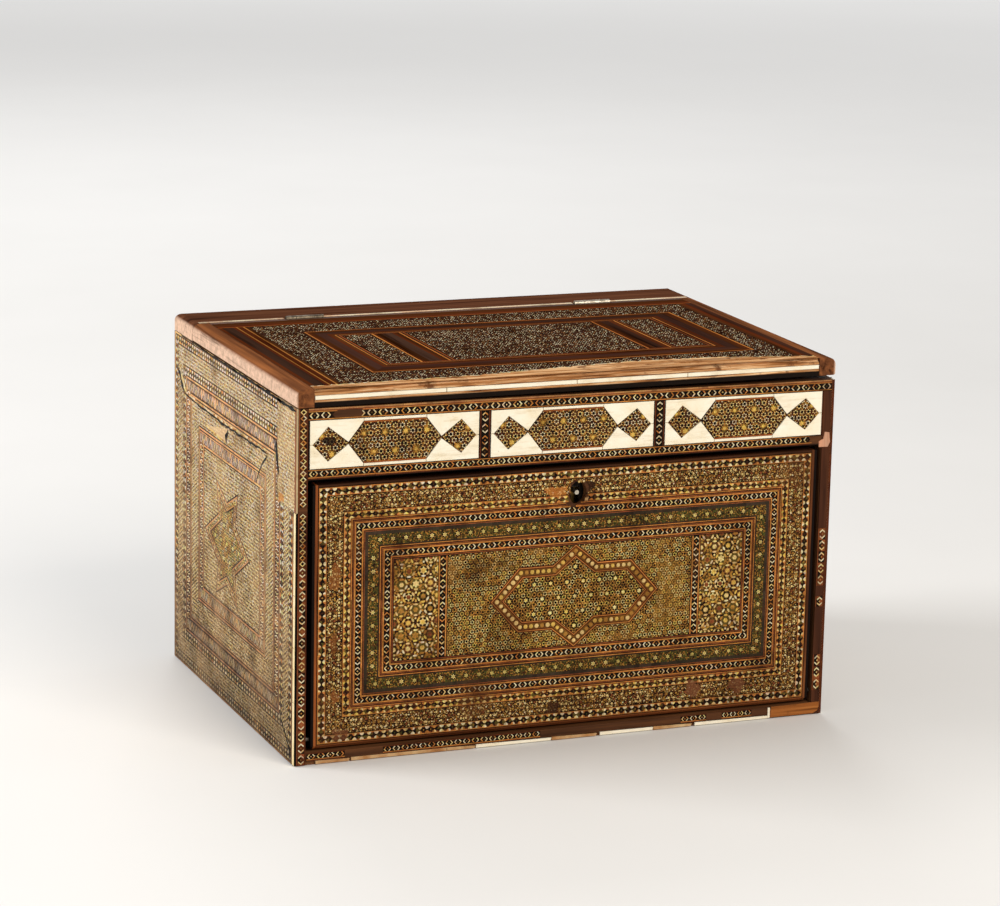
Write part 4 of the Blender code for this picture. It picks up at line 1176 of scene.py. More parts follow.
def eyes_between(sheet, places):
    """Narrow dark lozenges across a border, halfway between each bead and the next."""
    for place, after in zip(places, places[1:] + places[:1]):
        along = (after - place).normalized()
        across = Vector((-along.y, along.x))
        middle = (place + after) / 2
        along, across = along * EYE_HALF[0], across * EYE_HALF[1]
        lozenge = [middle - across, middle + along, middle + across, middle - along]
        sheet.add([[tuple(corner) for corner in lozenge]], sheet.choose("dark brown olive", 1))


def domed_beads(name, body, face, places, height, seed):
    """Small round bone beads, each a low dome."""
    random = np.random.default_rng(seed)
    points, faces, colours = [], [], []
    for place in places:
        start = len(points)
        size = BEAD_RADIUS * random.uniform(*BEAD_SIZES)
        paint = PAINT_COLOURS[PAINT_NUMBERS[random.choice(BEAD_PAINTS)]]
        paint = paint * random.uniform(*BEAD_SHADES)
        for share, rise in BEAD_RINGS:
            for k in range(BEAD_SIDES):
                angle = 2 * math.pi * k / BEAD_SIDES
                x = place[0] + size * share * math.cos(angle)
                y = place[1] + size * share * math.sin(angle)
                points.append((x, y, height + rise * BEAD_RISE))
        for ring in range(len(BEAD_RINGS) - 1):
            low, high = start + ring * BEAD_SIDES, start + (ring + 1) * BEAD_SIDES
            for k in range(BEAD_SIDES):
                n = (k + 1) % BEAD_SIDES
                faces.append((low + k, low + n, high + n, high + k))
        top = start + (len(BEAD_RINGS) - 1) * BEAD_SIDES
        faces.append(tuple(top + k for k in range(BEAD_SIDES)))
        corners = 4 * BEAD_SIDES * (len(BEAD_RINGS) - 1) + BEAD_SIDES
        colours.extend([paint] * corners)
    points = np.array(points)
    colours = np.array(colours).clip(0, 1)
    placed = face.place(points[:, :2], points[:, 2])
    tile_mesh(name, body, placed, faces, colours, np.zeros(len(colours)), KHATAM)


def fall_panels(sheet, leaves):
    """The bands round the fall-front, its two end panels and their dividers, and the field that is left."""
    left, low, right, high = frame_bands(sheet, (0, 0, *FALL_SIZE), FALL_BANDS, FALL_STRETCH)
    divider = total_width(DIVIDER_LINES)
    for start in (left, right - FALL_END_PANEL):
        run = Run(start, low, start + FALL_END_PANEL, high, False)
        leaf_net(leaves, run, *rosette_field(sheet, run, COARSE_WEAVE, COARSE_RINGS, loose=3))
    upright_lines(sheet, left + FALL_END_PANEL, low, high, DIVIDER_LINES)
    upright_lines(sheet, right - FALL_END_PANEL - divider, low, high, DIVIDER_LINES[::-1])
    return Run(left + FALL_END_PANEL + divider, low, right - FALL_END_PANEL - divider, high, False)


def fall_star(star, middle):
    """The star's heart, its border, and the beads and eyes along the border's middle."""
    heart = star_heart(FALL_FACE, 13, middle, FALL_STAR_WEAVE)
    heart.gain(FIELD_GAIN)
    heart.build("fall_star_heart", "fall_front", KHATAM)
    border = Sheet(FALL_FACE, 14)
    star_rings(border, star, STAR_BAND)
    border.build("fall_star_border", "fall_front", KHATAM, STAR_HEIGHT)
    places = beads_along(middle)
    eyes = Sheet(FALL_FACE, 17)
    eyes_between(eyes, places)
    eyes.build("fall_star_eyes", "fall_front", KHATAM, STAR_HEIGHT + EYE_LEVEL)
    domed_beads("fall_star_beads", "fall_front", FALL_FACE, places, STAR_HEIGHT, 15)


def fall_mosaic():
    """All of the fall-front's mosaic, with its worn spots and the loss round the keyhole."""
    sheet, leaves, fine = Sheet(FALL_FACE, 11), Sheet(FALL_FACE, 16), Sheet(FALL_FACE, 12)
    sheet.raised = leaves
    rosette_field(fine, fall_panels(sheet, leaves), FIELD_WEAVE, FINE_RINGS)
    star = moved(FALL_STAR, middle_on_fall("fall_star"))
    middle = inset(star, total_width(STAR_BAND) / 2)
    fine.losses.append(inside_outline(middle))
    fine.gain(FIELD_GAIN)
    fine.fade(5, 40, base=-0.45, swing=0.6, limit=0.45, paint=(160, 120, 62))
    sheet.fade(6, 55, base=-0.45, swing=0.5, limit=0.4, paint=(112, 72, 40))
    keyhole = middle_on_fall("lock_drill_pin")
    for part in (sheet, leaves):
        part.losses.append(ragged_patch(keyhole, KEYHOLE_LOSS, 3))
    sheet.lifts.append(lambda points: (
        LOW_SHADE + SHADE_RISE * points[:, 1] / SHADE_HEIGHT).clip(LOW_SHADE, SHADE_TOP))
    for seed, ((x, z), size, share, paint) in enumerate(FALL_WORN):
        place = (x - FALL_LOW.x / MM, z - FALL_LOW.z / MM)
        for part in (sheet, leaves, fine):
            part.wear_spot(place, size, seed, share, paint)
    leaves.build("fall_leaves", "fall_front", KHATAM, LEAF_HEIGHT)
    fine.build("fall_field", "fall_front", KHATAM)
    sheet.build("fall_bands", "fall_front", KHATAM)
    fall_star(star, middle)


# Front rail

RAIL_LOW, RAIL_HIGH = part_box("rail_border")
RAIL_HALF = RAIL_HIGH.x / MM
RAIL_HEIGHT = (RAIL_HIGH.z - RAIL_LOW.z) / MM
RAIL_CORNERS = [vertex.co for vertex in NODES["rail_border"].data.vertices]
RAIL_END_TOP = max(corner.z for corner in RAIL_CORNERS if corner.x > RAIL_HIGH.x - MM)
RAIL_SAG = (RAIL_HIGH.z - RAIL_END_TOP) / MM
RAIL_TOP_LINES = (
    ("ebony", 0.5), ("amber", 0.6), ("chain", 4.2), ("amber", 0.6), ("sienna", 0.7), ("sand", 0.9))
RAIL_LOW_LINES = (
    ("ebony", 0.6), ("rust", 0.9), ("amber", 0.6), ("chain", 3.9), ("amber", 0.5), ("ebony", 0.5))
RAIL_DIVIDER = (
    ("ebony", 0.5), ("rust", 0.9), ("ebony", 0.4), ("chain", 4.2), ("ebony", 0.4), ("rust", 0.9),
    ("ebony", 0.5))
RAIL_END = 0.8
RAIL_TOP_END = 178.0
RAIL_PANELS = 3
MEDALLION_HEXAGON = mirrored([(30.0, 0.0), (20.2, 13.15)])
MEDALLION_DIAMOND = ((52.6, 0.0), (43.0, 10.7), (30.0, 0.0), (43.0, -10.7))
MEDALLION_REACH = (55, 20)
MEDALLION_LINE = 1.0
FLOWER_SHIFT = 5.85
PLATE_JOINT = 0.15
PLATE_GAP = 0.1
WAIST_GAP = 0.7
PLATE_LEVEL = 0.25

# The upper and lower edges of the rail's panels, and the lost stretches of the lines above and below them
PANEL_LOW = total_width(RAIL_LOW_LINES)
PANEL_HIGH = RAIL_HEIGHT - total_width(RAIL_TOP_LINES)
RAIL_LOSSES = (
    (-156.4, PANEL_HIGH + 0.9, -139.2, PANEL_HIGH + 5.7),
    (162.6, 1.0, RAIL_HALF, PANEL_LOW - 0.4),
)

# The dark spot on the first medallion: its place from the centre, and its half width and half height
DARK_SPOT = ((-42.0, 2.0), (3.4, 2.6))
DARK_WEAR = (30, 18, 11)


def sagged(points):
    """Points on the rail lowered towards its right end, as the old rail has sunk."""
    across = (points[:, 0] + RAIL_HALF) / (2 * RAIL_HALF)
    drop = RAIL_SAG * across * points[:, 1] / RAIL_HEIGHT
    return np.column_stack((points[:, 0], points[:, 1] - drop))


RAIL_FACE = front_face(0, RAIL_LOW.y, RAIL_LOW.z, sagged)


def rail_panels():
    """The left and right edges of the rail's bone panels."""
    gap = total_width(RAIL_DIVIDER)
    width = (2 * (RAIL_HALF - RAIL_END) - (RAIL_PANELS - 1) * gap) / RAIL_PANELS
    lefts = [-RAIL_HALF + RAIL_END + k * (width + gap) for k in range(RAIL_PANELS)]
    return [(left, left + width) for left in lefts]


def rail_mosaic():
    """The rail's lines and dividers, then its medallions and bone plates."""
    sheet = Sheet(RAIL_FACE, 21)
    panels = rail_panels()
    level_lines(sheet, -RAIL_HALF, RAIL_HALF, 0, RAIL_LOW_LINES)
    level_lines(sheet, -RAIL_HALF, RAIL_TOP_END, PANEL_HIGH, RAIL_TOP_LINES)
    for _, right in panels[:-1]:
        upright_lines(sheet, right, PANEL_LOW, PANEL_HIGH, RAIL_DIVIDER)
    upright_lines(sheet, -RAIL_HALF, PANEL_LOW, PANEL_HIGH, (("ebony", RAIL_END),))
    upright_lines(sheet, RAIL_HALF - RAIL_END, PANEL_LOW, PANEL_HIGH, (("rust", RAIL_END),))
    for lost in RAIL_LOSSES:
        sheet.losses.append(inside_outline(rectangle(*lost)))
    sheet.build("rail_bands", "carcass", KHATAM)
    for number, (left, right) in enumerate(panels, 1):
        centre = ((left + right) / 2, (PANEL_LOW + PANEL_HIGH) / 2)
        rail_medallion(number, centre)
        bone_plates(number, centre, (right - left) / 2, (PANEL_HIGH - PANEL_LOW) / 2)


def rail_medallion(number, centre):
    """The mosaic of one medallion: a hexagon between two diamonds."""
    x, y = centre
    across, up = MEDALLION_REACH
    sheet = Sheet(RAIL_FACE, 30 + number)
    hexagon = [(px, py - math.copysign(MEDALLION_LINE, py) if py else py) for px, py in MEDALLION_HEXAGON]
    far_diamond = [(-px, -py) for px, py in MEDALLION_DIAMOND]
    middle = y - FLOWER_SHIFT
    run = Run(x - across, middle - up, x + across, middle + up, False)
    for outline in (hexagon, MEDALLION_DIAMOND, far_diamond):
        region = [(px + across, py + up + FLOWER_SHIFT) for px, py in outline]
        rosette_field(sheet, run, MEDALLION_WEAVE, MEDALLION_RINGS, MEDALLION_FLOWERS, region)
    corner_x, corner_y = MEDALLION_HEXAGON[1]
    for side in (-1, 1):
        low, high = sorted((side * corner_y, side * (corner_y - MEDALLION_LINE)))
        draw_band(sheet, "orange", Run(x - corner_x, y + low, x + corner_x, y + high, False))
    if number == 1:
        place, size = DARK_SPOT
        sheet.wear_spot((x + place[0], y + place[1]), size, 8, 0.9, DARK_WEAR)
    sheet.build(f"medallion_mosaic_{number}", "carcass", KHATAM)


def bone_plates(number, centre, half, rise):
    """Six bone plates round a medallion, butted at the hexagon's corners and the diamonds' tips."""
    tip, peak, waist, _ = MEDALLION_DIAMOND
    corner_x, corner_y = MEDALLION_HEXAGON[1]
    end_plate = [
        (half - PLATE_GAP, PLATE_JOINT), (half - PLATE_GAP, rise), (corner_x + PLATE_JOINT, rise),
        (corner_x + PLATE_JOINT, corner_y), (waist[0], WAIST_GAP), (peak[0], peak[1] + PLATE_GAP),
        (tip[0], PLATE_JOINT)]
    strip = rectangle(-corner_x + PLATE_JOINT, corner_y + PLATE_GAP, corner_x - PLATE_JOINT, rise)
    plates = [(end_plate, across, up) for across in (-1, 1) for up in (-1, 1)]
    plates += [(strip, 1, up) for up in (-1, 1)]
    outlines = []
    for shape, across, up in plates:
        outline = [(centre[0] + across * x, centre[1] + up * y) for x, y in shape]
        outlines.append(outline if across * up > 0 else outline[::-1])
    bone_pieces(f"bone_plates_{number}", "carcass", RAIL_FACE, outlines, PLATE_LEVEL, BONE,
                f"rail_bone_panel_{number}")


# Stiles, corner blocks and bottom edge

STILE_PARTS = {
    "left": ((0, 126, "stile_chain"), (126, 159, "lattice"), (163, 224, "lattice")),
    "right": ((16, 40, "stile_chain"), (72, 79, "stile_chain"), (86, 124, "stile_chain")),
}
BOTTOM_LINES = (("rust", 0.6), ("amber", 0.5), ("chain", 3.3), ("rust", 0.6))
BOTTOM_PARTS = ((-172, -147), (-122, -17), (80, 98), (109, 130))
BOTTOM_BONE = ((-60.3, -9.0), (24.0, 61.0), (90.0, 143.0))
BOTTOM_STAINED = ((-166.0, -143.6), (-142.9, -79.7), (-79.7, -60.3), (-9.0, 22.0), (61.0, 88.0))
BOTTOM_BONE_HEIGHT = 2.2
BOTTOM_BONE_GAP = 0.1
BONE_CHIP = 0.7
BONE_LEVEL = 0.1
FRONT_FACE = front_face(0, RAIL_LOW.y, 0)
CORNER_LEVEL = 0.05

# Lines up the front's corners: the side, how far each edge is moved from the corner bone's, and the paint.
# The left one, in ebony, is painted shadow of the gap beside the corner bone
CORNER_STRIPS = (("left", 0.0, 0.3, "ebony"), ("right", -0.3, 0.0, "rust"))

# Blocks on the front's right end: name, outline, height, softened edge, material and slot
BLOCK_FOOT = -0.1
BLOCK_OUTLINE = [(143.4, 0.8), (174.0, 0.8), (177.4, 2.6), (178.3, 5.2), (178.3, 8.4), (143.8, 8.0)]
RAIL_END_CHIP = [
    (170.4, 178.2), (176.8, 178.0), (178.3, 181.2), (177.6, 187.4), (174.2, 188.0), (173.4, 183.4),
    (170.2, 182.0)]
FRONT_BLOCKS = (
    ("front_block", BLOCK_OUTLINE, 0.4, 0.3, ORANGE_BLOCK, "red_wood"),
    ("rail_end_chip", RAIL_END_CHIP, 0.35, 0.25, PALE_CHIP, "pale_wood"),
    ("block_bone_end", rectangle(141.6, 0.8, 143.2, 7.6), 0.4, 0.2, BONE, "bone"),
)


def stile_mosaic(side, seed):
    """The strip beside the fall-front, with its pattern where it has survived."""
    low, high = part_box(f"{side}_stile_strip")
    width, height = front_size(low, high)
    sheet = Sheet(front_face(*low), seed)
    for start, end, pattern in STILE_PARTS[side]:
        top = min(end, height)
        lines = (("sienna", 0.6), ("brown", 0.3), (pattern, 4.2), ("brown", 0.3))
        edge = upright_lines(sheet, 0, start, top, lines)
        upright_lines(sheet, edge, start, top, (("rust", width - edge),))
    sheet.build(f"{side}_stile_mosaic", "carcass", KHATAM)


def front_blocks():
    """The bare wood and bone at the right: the block under the corner and the chip at the rail's end."""
    for name, outline, high, soften, material, slot in FRONT_BLOCKS:
        block = Slabs(FRONT_FACE)
        block.add(outline, BLOCK_FOOT, high, soften)
        block.build(name, "carcass", material, slot)


def corner_strips():
    """The plain dark lines up the front's two corners, the left one painted shadow beside the corner bone."""
    sheet = Sheet(FRONT_FACE, 45)
    for side, near, far, paint in CORNER_STRIPS:
        low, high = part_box(f"{side}_corner_bone")
        run = Run(low.x / MM + near, low.z / MM, high.x / MM + far, high.z / MM, True)
        stringing(sheet, run, paint)
    sheet.build("corner_strips", "carcass", KHATAM, CORNER_LEVEL, "dark_wood")


def bottom_edge():
    """What is left of the mosaic along the bottom edge."""
    low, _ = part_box("bottom_edge_strip")
    sheet = Sheet(front_face(0, low.y, low.z), 41)
    for left, right in BOTTOM_PARTS:
        level_lines(sheet, left, right, 0, BOTTOM_LINES)
    sheet.build("bottom_edge_mosaic", "carcass", KHATAM)


def bottom_bone():
    """The bone line under the front, in clean and stained lengths with chipped ends."""
    low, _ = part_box("bottom_bone_strip")
    face = front_face(0, low.y, low.z)
    top = BOTTOM_BONE_HEIGHT
    random = np.random.default_rng(42)
    for name, lengths, material in (("clean", BOTTOM_BONE, BONE), ("stained", BOTTOM_STAINED, STAINED_BONE)):
        outlines = []
        for left, right in lengths:
            chip = random.uniform(0, BONE_CHIP)
            near, far = left + BOTTOM_BONE_GAP, right - BOTTOM_BONE_GAP
            outlines.append([(near, 0), (far - chip, 0), (far, top - chip), (near, top)])
        bone_pieces(f"bottom_bone_{name}", "carcass", face, outlines, BONE_LEVEL, material,
                    "bottom_bone_strip")


# Sides and back

SIDE_STAR = mirrored([(48.0, 0.0), (18.4, 16.5), (23.4, 38.5), (0.0, 28.0)])
SIDE_STAR_BAND = (("dark", 1.0), ("sand", 0.9), (None, 3.0), ("sand", 0.9), ("dark", 1.0))
SIDE_STRETCH = (1.03, 1.02, 1.03, 1.02)
BACK_STAR_STRETCH = (1.35, 1.2)
# Dust with painted sheen, towards which the sides pale in patches
SIDE_DUST_AND_SHEEN = (202, 170, 132)
SIDE_MOTTLE = 0.13
MOTTLE_LENGTHS = (7.0, 20.0)
MOTTLE_SEED = 40

# The right side's top edge sinks towards the front: by how much, and how far below it the tiles end
SIDE_SINK = 2.7
SINK_MARGIN = 0.4

# Painted light on the sides: the brightness at the bottom, and how much is added for each millimetre up,
# darker low down and lighter towards the top
LEFT_PAINTED_LIGHT = (0.45, 0.0088)
OTHER_PAINTED_LIGHT = (0.8, 0.002)
HEART_GAIN = 1.45

# The patch let in at the left side's upper front corner: its edges along y and z, in metres, and its rim
PATCH_EDGE = -0.0909
PATCH_LOW = 0.1599
PATCH_RIM = 2.4
PATCH_SEED = 9

# Damage on the left side, as places along y and z
SPLIT = ((119.4, 203.0), (112.0, 194.5), (103.4, 186.7))
LIFTED_EDGE = ((103.4, 186.7), (68.6, 184.6), (7.0, 183.9), (-72.6, 184.8))
LOST_TRIANGLE = ((56.4, 175.2), (9.1, 182.8), (13.2, 172.8))
FORKED_CRACK = ((-72.6, 184.8), (-60.0, 174.0), (-49.1, 161.6))
SLIT = ((-88.1, 197.0), (-91.0, 187.0), (-94.4, 176.5))
CORNER_CRACK = ((-99.7, 24.7), (-111.7, 16.0), (-122.4, 4.6))

# Cracks and broken edges there: the line, how far it is moved, its width, its paints and its waver. The ebony
# and dark lines are painted shade in the cracks and gaps, and the pale line beside the lifted edge is a
# painted highlight on its raised rim
WAVER = 0.18
SLIT_WAVER = 0.06
GAP_WAVER = 0.02
IN_PLACE = (0, 0)
LEFT_CRACKS = (
    (SPLIT, (3.4, 0.8), 2.6, "bone cream", WAVER),
    (SPLIT, IN_PLACE, 3.4, "ebony", WAVER),
    (LIFTED_EDGE, (0, 1.7), 1.4, "cream bone amber", WAVER),
    (LIFTED_EDGE, IN_PLACE, 1.5, "ebony", WAVER),
    (LIFTED_EDGE[1:], (0, 5.2), 0.6, "dark", WAVER),
    ((LOST_TRIANGLE[0], LOST_TRIANGLE[2]), IN_PLACE, 1.1, "brass cream gold", WAVER),
    ((LOST_TRIANGLE[2], LOST_TRIANGLE[1]), IN_PLACE, 4.0, "ebony", WAVER),
    (FORKED_CRACK, IN_PLACE, 1.6, "ebony", WAVER),
    (SLIT, IN_PLACE, 4.4, "ebony", SLIT_WAVER),
    (CORNER_CRACK, IN_PLACE, 1.8, "ebony", WAVER),
)

# Worn spots and patches of the left side, and the joints of its corner bone
ORANGE_SPOT = ((-99.0, 163.6), (6.0, 2.6))
ORANGE_WEAR = (206, 140, 62)
BARE_SHARE = 0.8
BARE_VENEER = (226, 196, 158)
FADED_PATCH = (202, 172, 140)
CORNER_BONE_CUTS = (40.4, 61.6, 75.0, 94.0, 108.0)
CORNER_BONE_GAP = 0.15

# Painted shadow of the gap under the lid: places along y where each length starts and ends, and its width
LID_GAP_SHADOW = (
    (112.0, 50.0, 0.9), (70.0, -10.0, 1.3), (0.0, -60.0, 1.8), (-50.0, -100.0, 2.3), (-90.0, -126.5, 2.8))


def side_dust_sheen_and_light(sheet, seed, gain):
    """The sides are paler than the front: rubbed and dusty with painted sheen in uneven patches, and painted
    light that makes them lighter towards the top.
    """
    base, rise = gain
    sheet.lifts.append(lambda points: base + rise * points[:, 1])
    for wavelength in MOTTLE_LENGTHS:
        sheet.lifts.append(lambda points, length=wavelength: (
            1 + SIDE_MOTTLE * ripple(points, seed + MOTTLE_SEED, length)))
    sheet.fade(seed, 60, base=0.09, swing=0.11, limit=0.4, paint=SIDE_DUST_AND_SHEEN)


def side_mosaic(side, seed):
    """One side's bands and star, and on the left its damage, its corner patch and its corner bone."""
    left = side == "left"
    low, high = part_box(f"{side}_side_veneer")
    star_low, star_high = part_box(f"{side}_side_star")
    # gain here is the side's painted light, darker low down and lighter towards the top
    out, start, wall, gain = (-1, high.y, low.x, LEFT_PAINTED_LIGHT) if left else (1, low.y, high.x, OTHER_PAINTED_LIGHT)
    face = Face((wall, start, low.z), (0, out, 0), (0, 0, 1))
    size = ((high.y - low.y) / MM, (high.z - low.z) / MM)
    star_middle = (star_low + star_high) / 2
    star_centre = (out * (star_middle.y - start) / MM, (star_middle.z - low.z) / MM)
    sheet = Sheet(face, seed)
    side_dust_sheen_and_light(sheet, seed, gain)
    box = frame_bands(sheet, (0, 0, *size), SIDE_BANDS, SIDE_STRETCH)
    if left:
        edge, bottom = (start - PATCH_EDGE) / MM, (PATCH_LOW - low.z) / MM
        sheet.losses.append(lambda points: (points[:, 0] > edge) & (points[:, 1] > bottom))
        left_damage(face, sheet)
        corner_patch(face, seed + PATCH_SEED, gain)
        corner_bone(face)
    else:
        top = size[1] - SIDE_SINK
        sheet.losses.append(lambda points: (
            points[:, 1] > top - SINK_MARGIN + SIDE_SINK * points[:, 0] / size[0]))
    star_panel(face, sheet, box, moved(SIDE_STAR, star_centre), f"{side}_side", seed, gain)


def on_left(points):
    """Places along y and z on the left side, as points of its sheet."""
    low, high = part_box("left_side_veneer")
    return [(high.y / MM - y, z - low.z / MM) for y, z in points]


def orange_spot(sheet):
    """The rubbed orange spot where the corner patch meets the side's veneer."""
    place, size = ORANGE_SPOT
    sheet.wear_spot(on_left([place])[0], size, 9, 0.75, ORANGE_WEAR)


def left_damage(face, sheet):
    """Splits, a lifted strip, a lost triangle and cracks in the left side's veneer, drawn with painted shade
    and a painted highlight, and the painted shadow of the gap under the lid.
    """
    marks = Sheet(face, 81)
    for line, offset, width, paints, waver in LEFT_CRACKS:
        crack(marks, moved(on_left(line), offset), width, paints, waver)
    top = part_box("left_side_veneer")[1].z / MM
    for start, end, width in LID_GAP_SHADOW:
        level = top - width / 2
        crack(marks, on_left(((start, level), (end, level))), width, "ebony", GAP_WAVER)
    marks.build("left_side_marks", "carcass", SIDE_KHATAM, STAR_HEIGHT)
    sheet.wear_inside(inside_outline(on_left(LOST_TRIANGLE)), BARE_SHARE, BARE_VENEER)
    orange_spot(sheet)


def corner_patch(face, seed, gain):
    """The piece let in at the upper front corner: faded mosaic with a worn orange edge, under the side's
    painted light and sheen.
    """
    low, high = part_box("left_corner_patch")
    (left, bottom), (right, top) = on_left(((high.y / MM, low.z / MM), (low.y / MM, high.z / MM)))
    sheet = Sheet(face, seed)
    side_dust_sheen_and_light(sheet, seed, gain)
    rim = right - PATCH_RIM
    draw_band(sheet, "side_mosaic", Run(left, bottom, rim, top, False))
    draw_band(sheet, "rust", Run(rim, bottom, right, top, True))
    sheet.fade(83, 22, base=0.35, swing=0.2, limit=0.8, paint=FADED_PATCH,
               inside=lambda points: points[:, 0] < rim)
    orange_spot(sheet)
    sheet.build("corner_patch_mosaic", "carcass", SIDE_KHATAM, slot="pale_wood")


def corner_bone(face):
    """The bone strip up the front corner, in butted lengths."""
    low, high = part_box("left_corner_bone")
    cuts = [low.z / MM, *CORNER_BONE_CUTS, high.z / MM]
    outlines = []
    for start, end in zip(cuts, cuts[1:]):
        lower, upper = start + CORNER_BONE_GAP, end - CORNER_BONE_GAP
        (left, bottom), (right, top) = on_left(((high.y / MM, lower), (low.y / MM, upper)))
        outlines.append(rectangle(left, bottom, right, top))
    bone_pieces("corner_bone_lengths", "carcass", face, outlines, BONE_LEVEL, YELLOW_BONE, "left_corner_bone")


def star_panel(face, sheet, box, star, name, seed, gain):
    """A field of fine rosettes round a star, the star's heart, and its border."""
    middle = inset(star, total_width(SIDE_STAR_BAND) / 2)
    field = Sheet(face, seed + 1)
    side_field(field, Run(*box, False))
    field.losses.append(inside_outline(middle))
    heart = star_heart(face, seed + 2, middle, SIDE_STAR_WEAVE)
    heart.gain(HEART_GAIN)
    border = Sheet(face, seed + 3)
    star_rings(border, star, SIDE_STAR_BAND)
    # The side's dust, painted sheen and painted light on every sheet
    for part in (field, heart, border):
        side_dust_sheen_and_light(part, seed, gain)
    sheet.build(f"{name}_bands", "carcass", SIDE_KHATAM)
    field.build(f"{name}_field", "carcass", SIDE_KHATAM)
    heart.build(f"{name}_star_heart", "carcass", SIDE_KHATAM)
    border.build(f"{name}_star_border", "carcass", SIDE_KHATAM, STAR_HEIGHT)


def back_mosaic(seed):
    """The back's bands, and a star like the fall-front's, only larger."""
    low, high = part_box("back_veneer")
    face = Face((high.x, high.y, low.z), (-1, 0, 0), (0, 0, 1))
    width, height = front_size(low, high)
    sheet = Sheet(face, seed)
    side_dust_sheen_and_light(sheet, seed, OTHER_PAINTED_LIGHT)
    box = frame_bands(sheet, (0, 0, width, height), SIDE_BANDS)
    across, up = BACK_STAR_STRETCH
    star = moved([(across * x, up * y) for x, y in FALL_STAR], (width / 2, height / 2))
    star_panel(face, sheet, box, star, "back", seed, OTHER_PAINTED_LIGHT)


# Lid

LID_LOW, LID_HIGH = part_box("lid_veneer")
LID_FACE = top_face(LID_HIGH.z)

# Left, low, right and high edges of the lid's rectangles, and the bars' left and right edges
LID_EDGES = (LID_LOW.x / MM, LID_LOW.y / MM, LID_HIGH.x / MM, LID_HIGH.y / MM)
LID_MOSAIC = (-148.5, -120.7, 158.0, 68.0)
LID_WOOD = (-119.0, -91.0, 140.0, 41.0)
LID_PANEL = (-100.0, -69.0, 118.0, 24.0)
LID_BARS = ((-79.0, -56.5), (75.5, 94.5))

# Plain lines of the lid's wood, each with its share of the width
LID_WOOD_LINES = (
    ("amber", 0.05), ("rust", 0.08), ("brown", 0.16), ("umber", 0.34), ("rust", 0.09),
    ("brown", 0.12), ("amber", 0.04), ("umber", 0.08), ("orange", 0.04))
LID_LEFT_LINES = (
    ("rust", 0.14), ("umber", 0.36), ("rust", 0.1), ("amber", 0.05), ("rust", 0.19), ("amber", 0.05),
    ("brown", 0.11))
LID_RIGHT_LINES = (("brown", 0.25), ("rust", 0.3), ("umber", 0.45))
LID_BACK_LINES = (("orange", 0.08), ("rust", 0.3), ("brown", 0.62))

SPECK_PAINTS = "bone sand bone tan bone"
SPECK_SHAPE = (0.85, 1.5)
SPECK_STEP = 1.75
SPECK_START = (0.8, 0.9)
SPECK_SHARE = 0.54
SPECK_STRAY = 0.2
SPECK_SIZES = (0.32, 0.56)
SPECK_HEIGHT = SHEET_HEIGHT + 0.05

# The lid's worn front edge: points along x and y that it reaches back to, and how it is broken
WORN_EDGE = (
    (-168.5, -119.0), (-110.0, -117.0), (-58.0, -116.0), (0.0, -108.0), (55.0, -102.5), (109.0, -106.0),
    (150.0, -116.0), (168.5, -119.0))
WORN_STEP = 2.0
WORN_HIGHLIGHT_RIM = 1.2
WORN_RAGGED = 0.9
WORN_OVERLAP = 0.6
WORN_FRONT_GAP = 0.2

LID_BONE_JOINTS = (-84.0, 2.0, 77.0)
LID_BONE_GAP = 0.25
LID_BONE_LEVEL = 0.15
REAR_JOINT = (0.1, 4.2)
REAR_JOINT_END = 5.0
REAR_JOINT_HEIGHT = 0.08
HINGE_GAP = 0.5


def mitred_lines(along, across, outer, inner, lines):
    """A mitred frame of plain lines between two rectangles, its level and upright sides on two sheets."""
    outer, inner = np.array(outer, float), np.array(inner, float)
    total = total_width(lines)
    done = 0.0
    for paint, share in lines:
        a, b, c, d = outer + (inner - outer) * done / total
        done += share
        p, q, r, s = outer + (inner - outer) * done / total
        level_sides = [[(a, b), (c, b), (r, q), (p, q)], [(a, d), (p, s), (r, s), (c, d)]]
        upright_sides = [[(a, b), (p, q), (p, s), (a, d)], [(c, b), (c, d), (r, s), (r, q)]]
        along.add(level_sides, along.choose(paint, 2))
        across.add(upright_sides, across.choose(paint, 2))


def upright_shares(sheet, left, right, low, high, lines):
    """Upright plain lines that share out the space from left to right."""
    total = total_width(lines)
    for paint, share in lines:
        end = left + (right - left) * share / total
        sheet.add([rectangle(left, low, end, high)], sheet.choose(paint, 1))
        left = end
        total -= share


def speckled_field(ground, specks, box):
    """Dark mosaic with small pale specks scattered over it."""
    rosette_field(ground, Run(*box, False), LID_WEAVE, LID_RINGS, loose=0)
    left, low, right, high = box
    across, up = SPECK_START
    rise = SPECK_STEP * ROOT3 / 2
    columns = np.arange(int((right - left) / SPECK_STEP) - 1)
    rows = np.arange(int((high - low) / rise) - 1)
    i, j = (grid.ravel() for grid in np.meshgrid(columns, rows))
    places = np.column_stack((left + SPECK_STEP * (i + across + j % 2 / 2), low + rise * (j + up)))
    places = places[specks.random.random(len(places)) < SPECK_SHARE]
    places = places + specks.random.normal(0, SPECK_STRAY, places.shape)
    sizes = specks.random.uniform(*SPECK_SIZES, (len(places), 1, 1))
    ring = HEXAGON * SPECK_SHAPE
    specks.add(places[:, None] + sizes * ring[None], specks.choose(SPECK_PAINTS, len(places)))


def worn_depth(along):
    """How far back the lid's worn front edge reaches at some places along it."""
    places = np.column_stack((along, np.zeros(len(along))))
    return np.interp(along, *np.array(WORN_EDGE).T) + WORN_RAGGED * ripple(places, 59, 9)


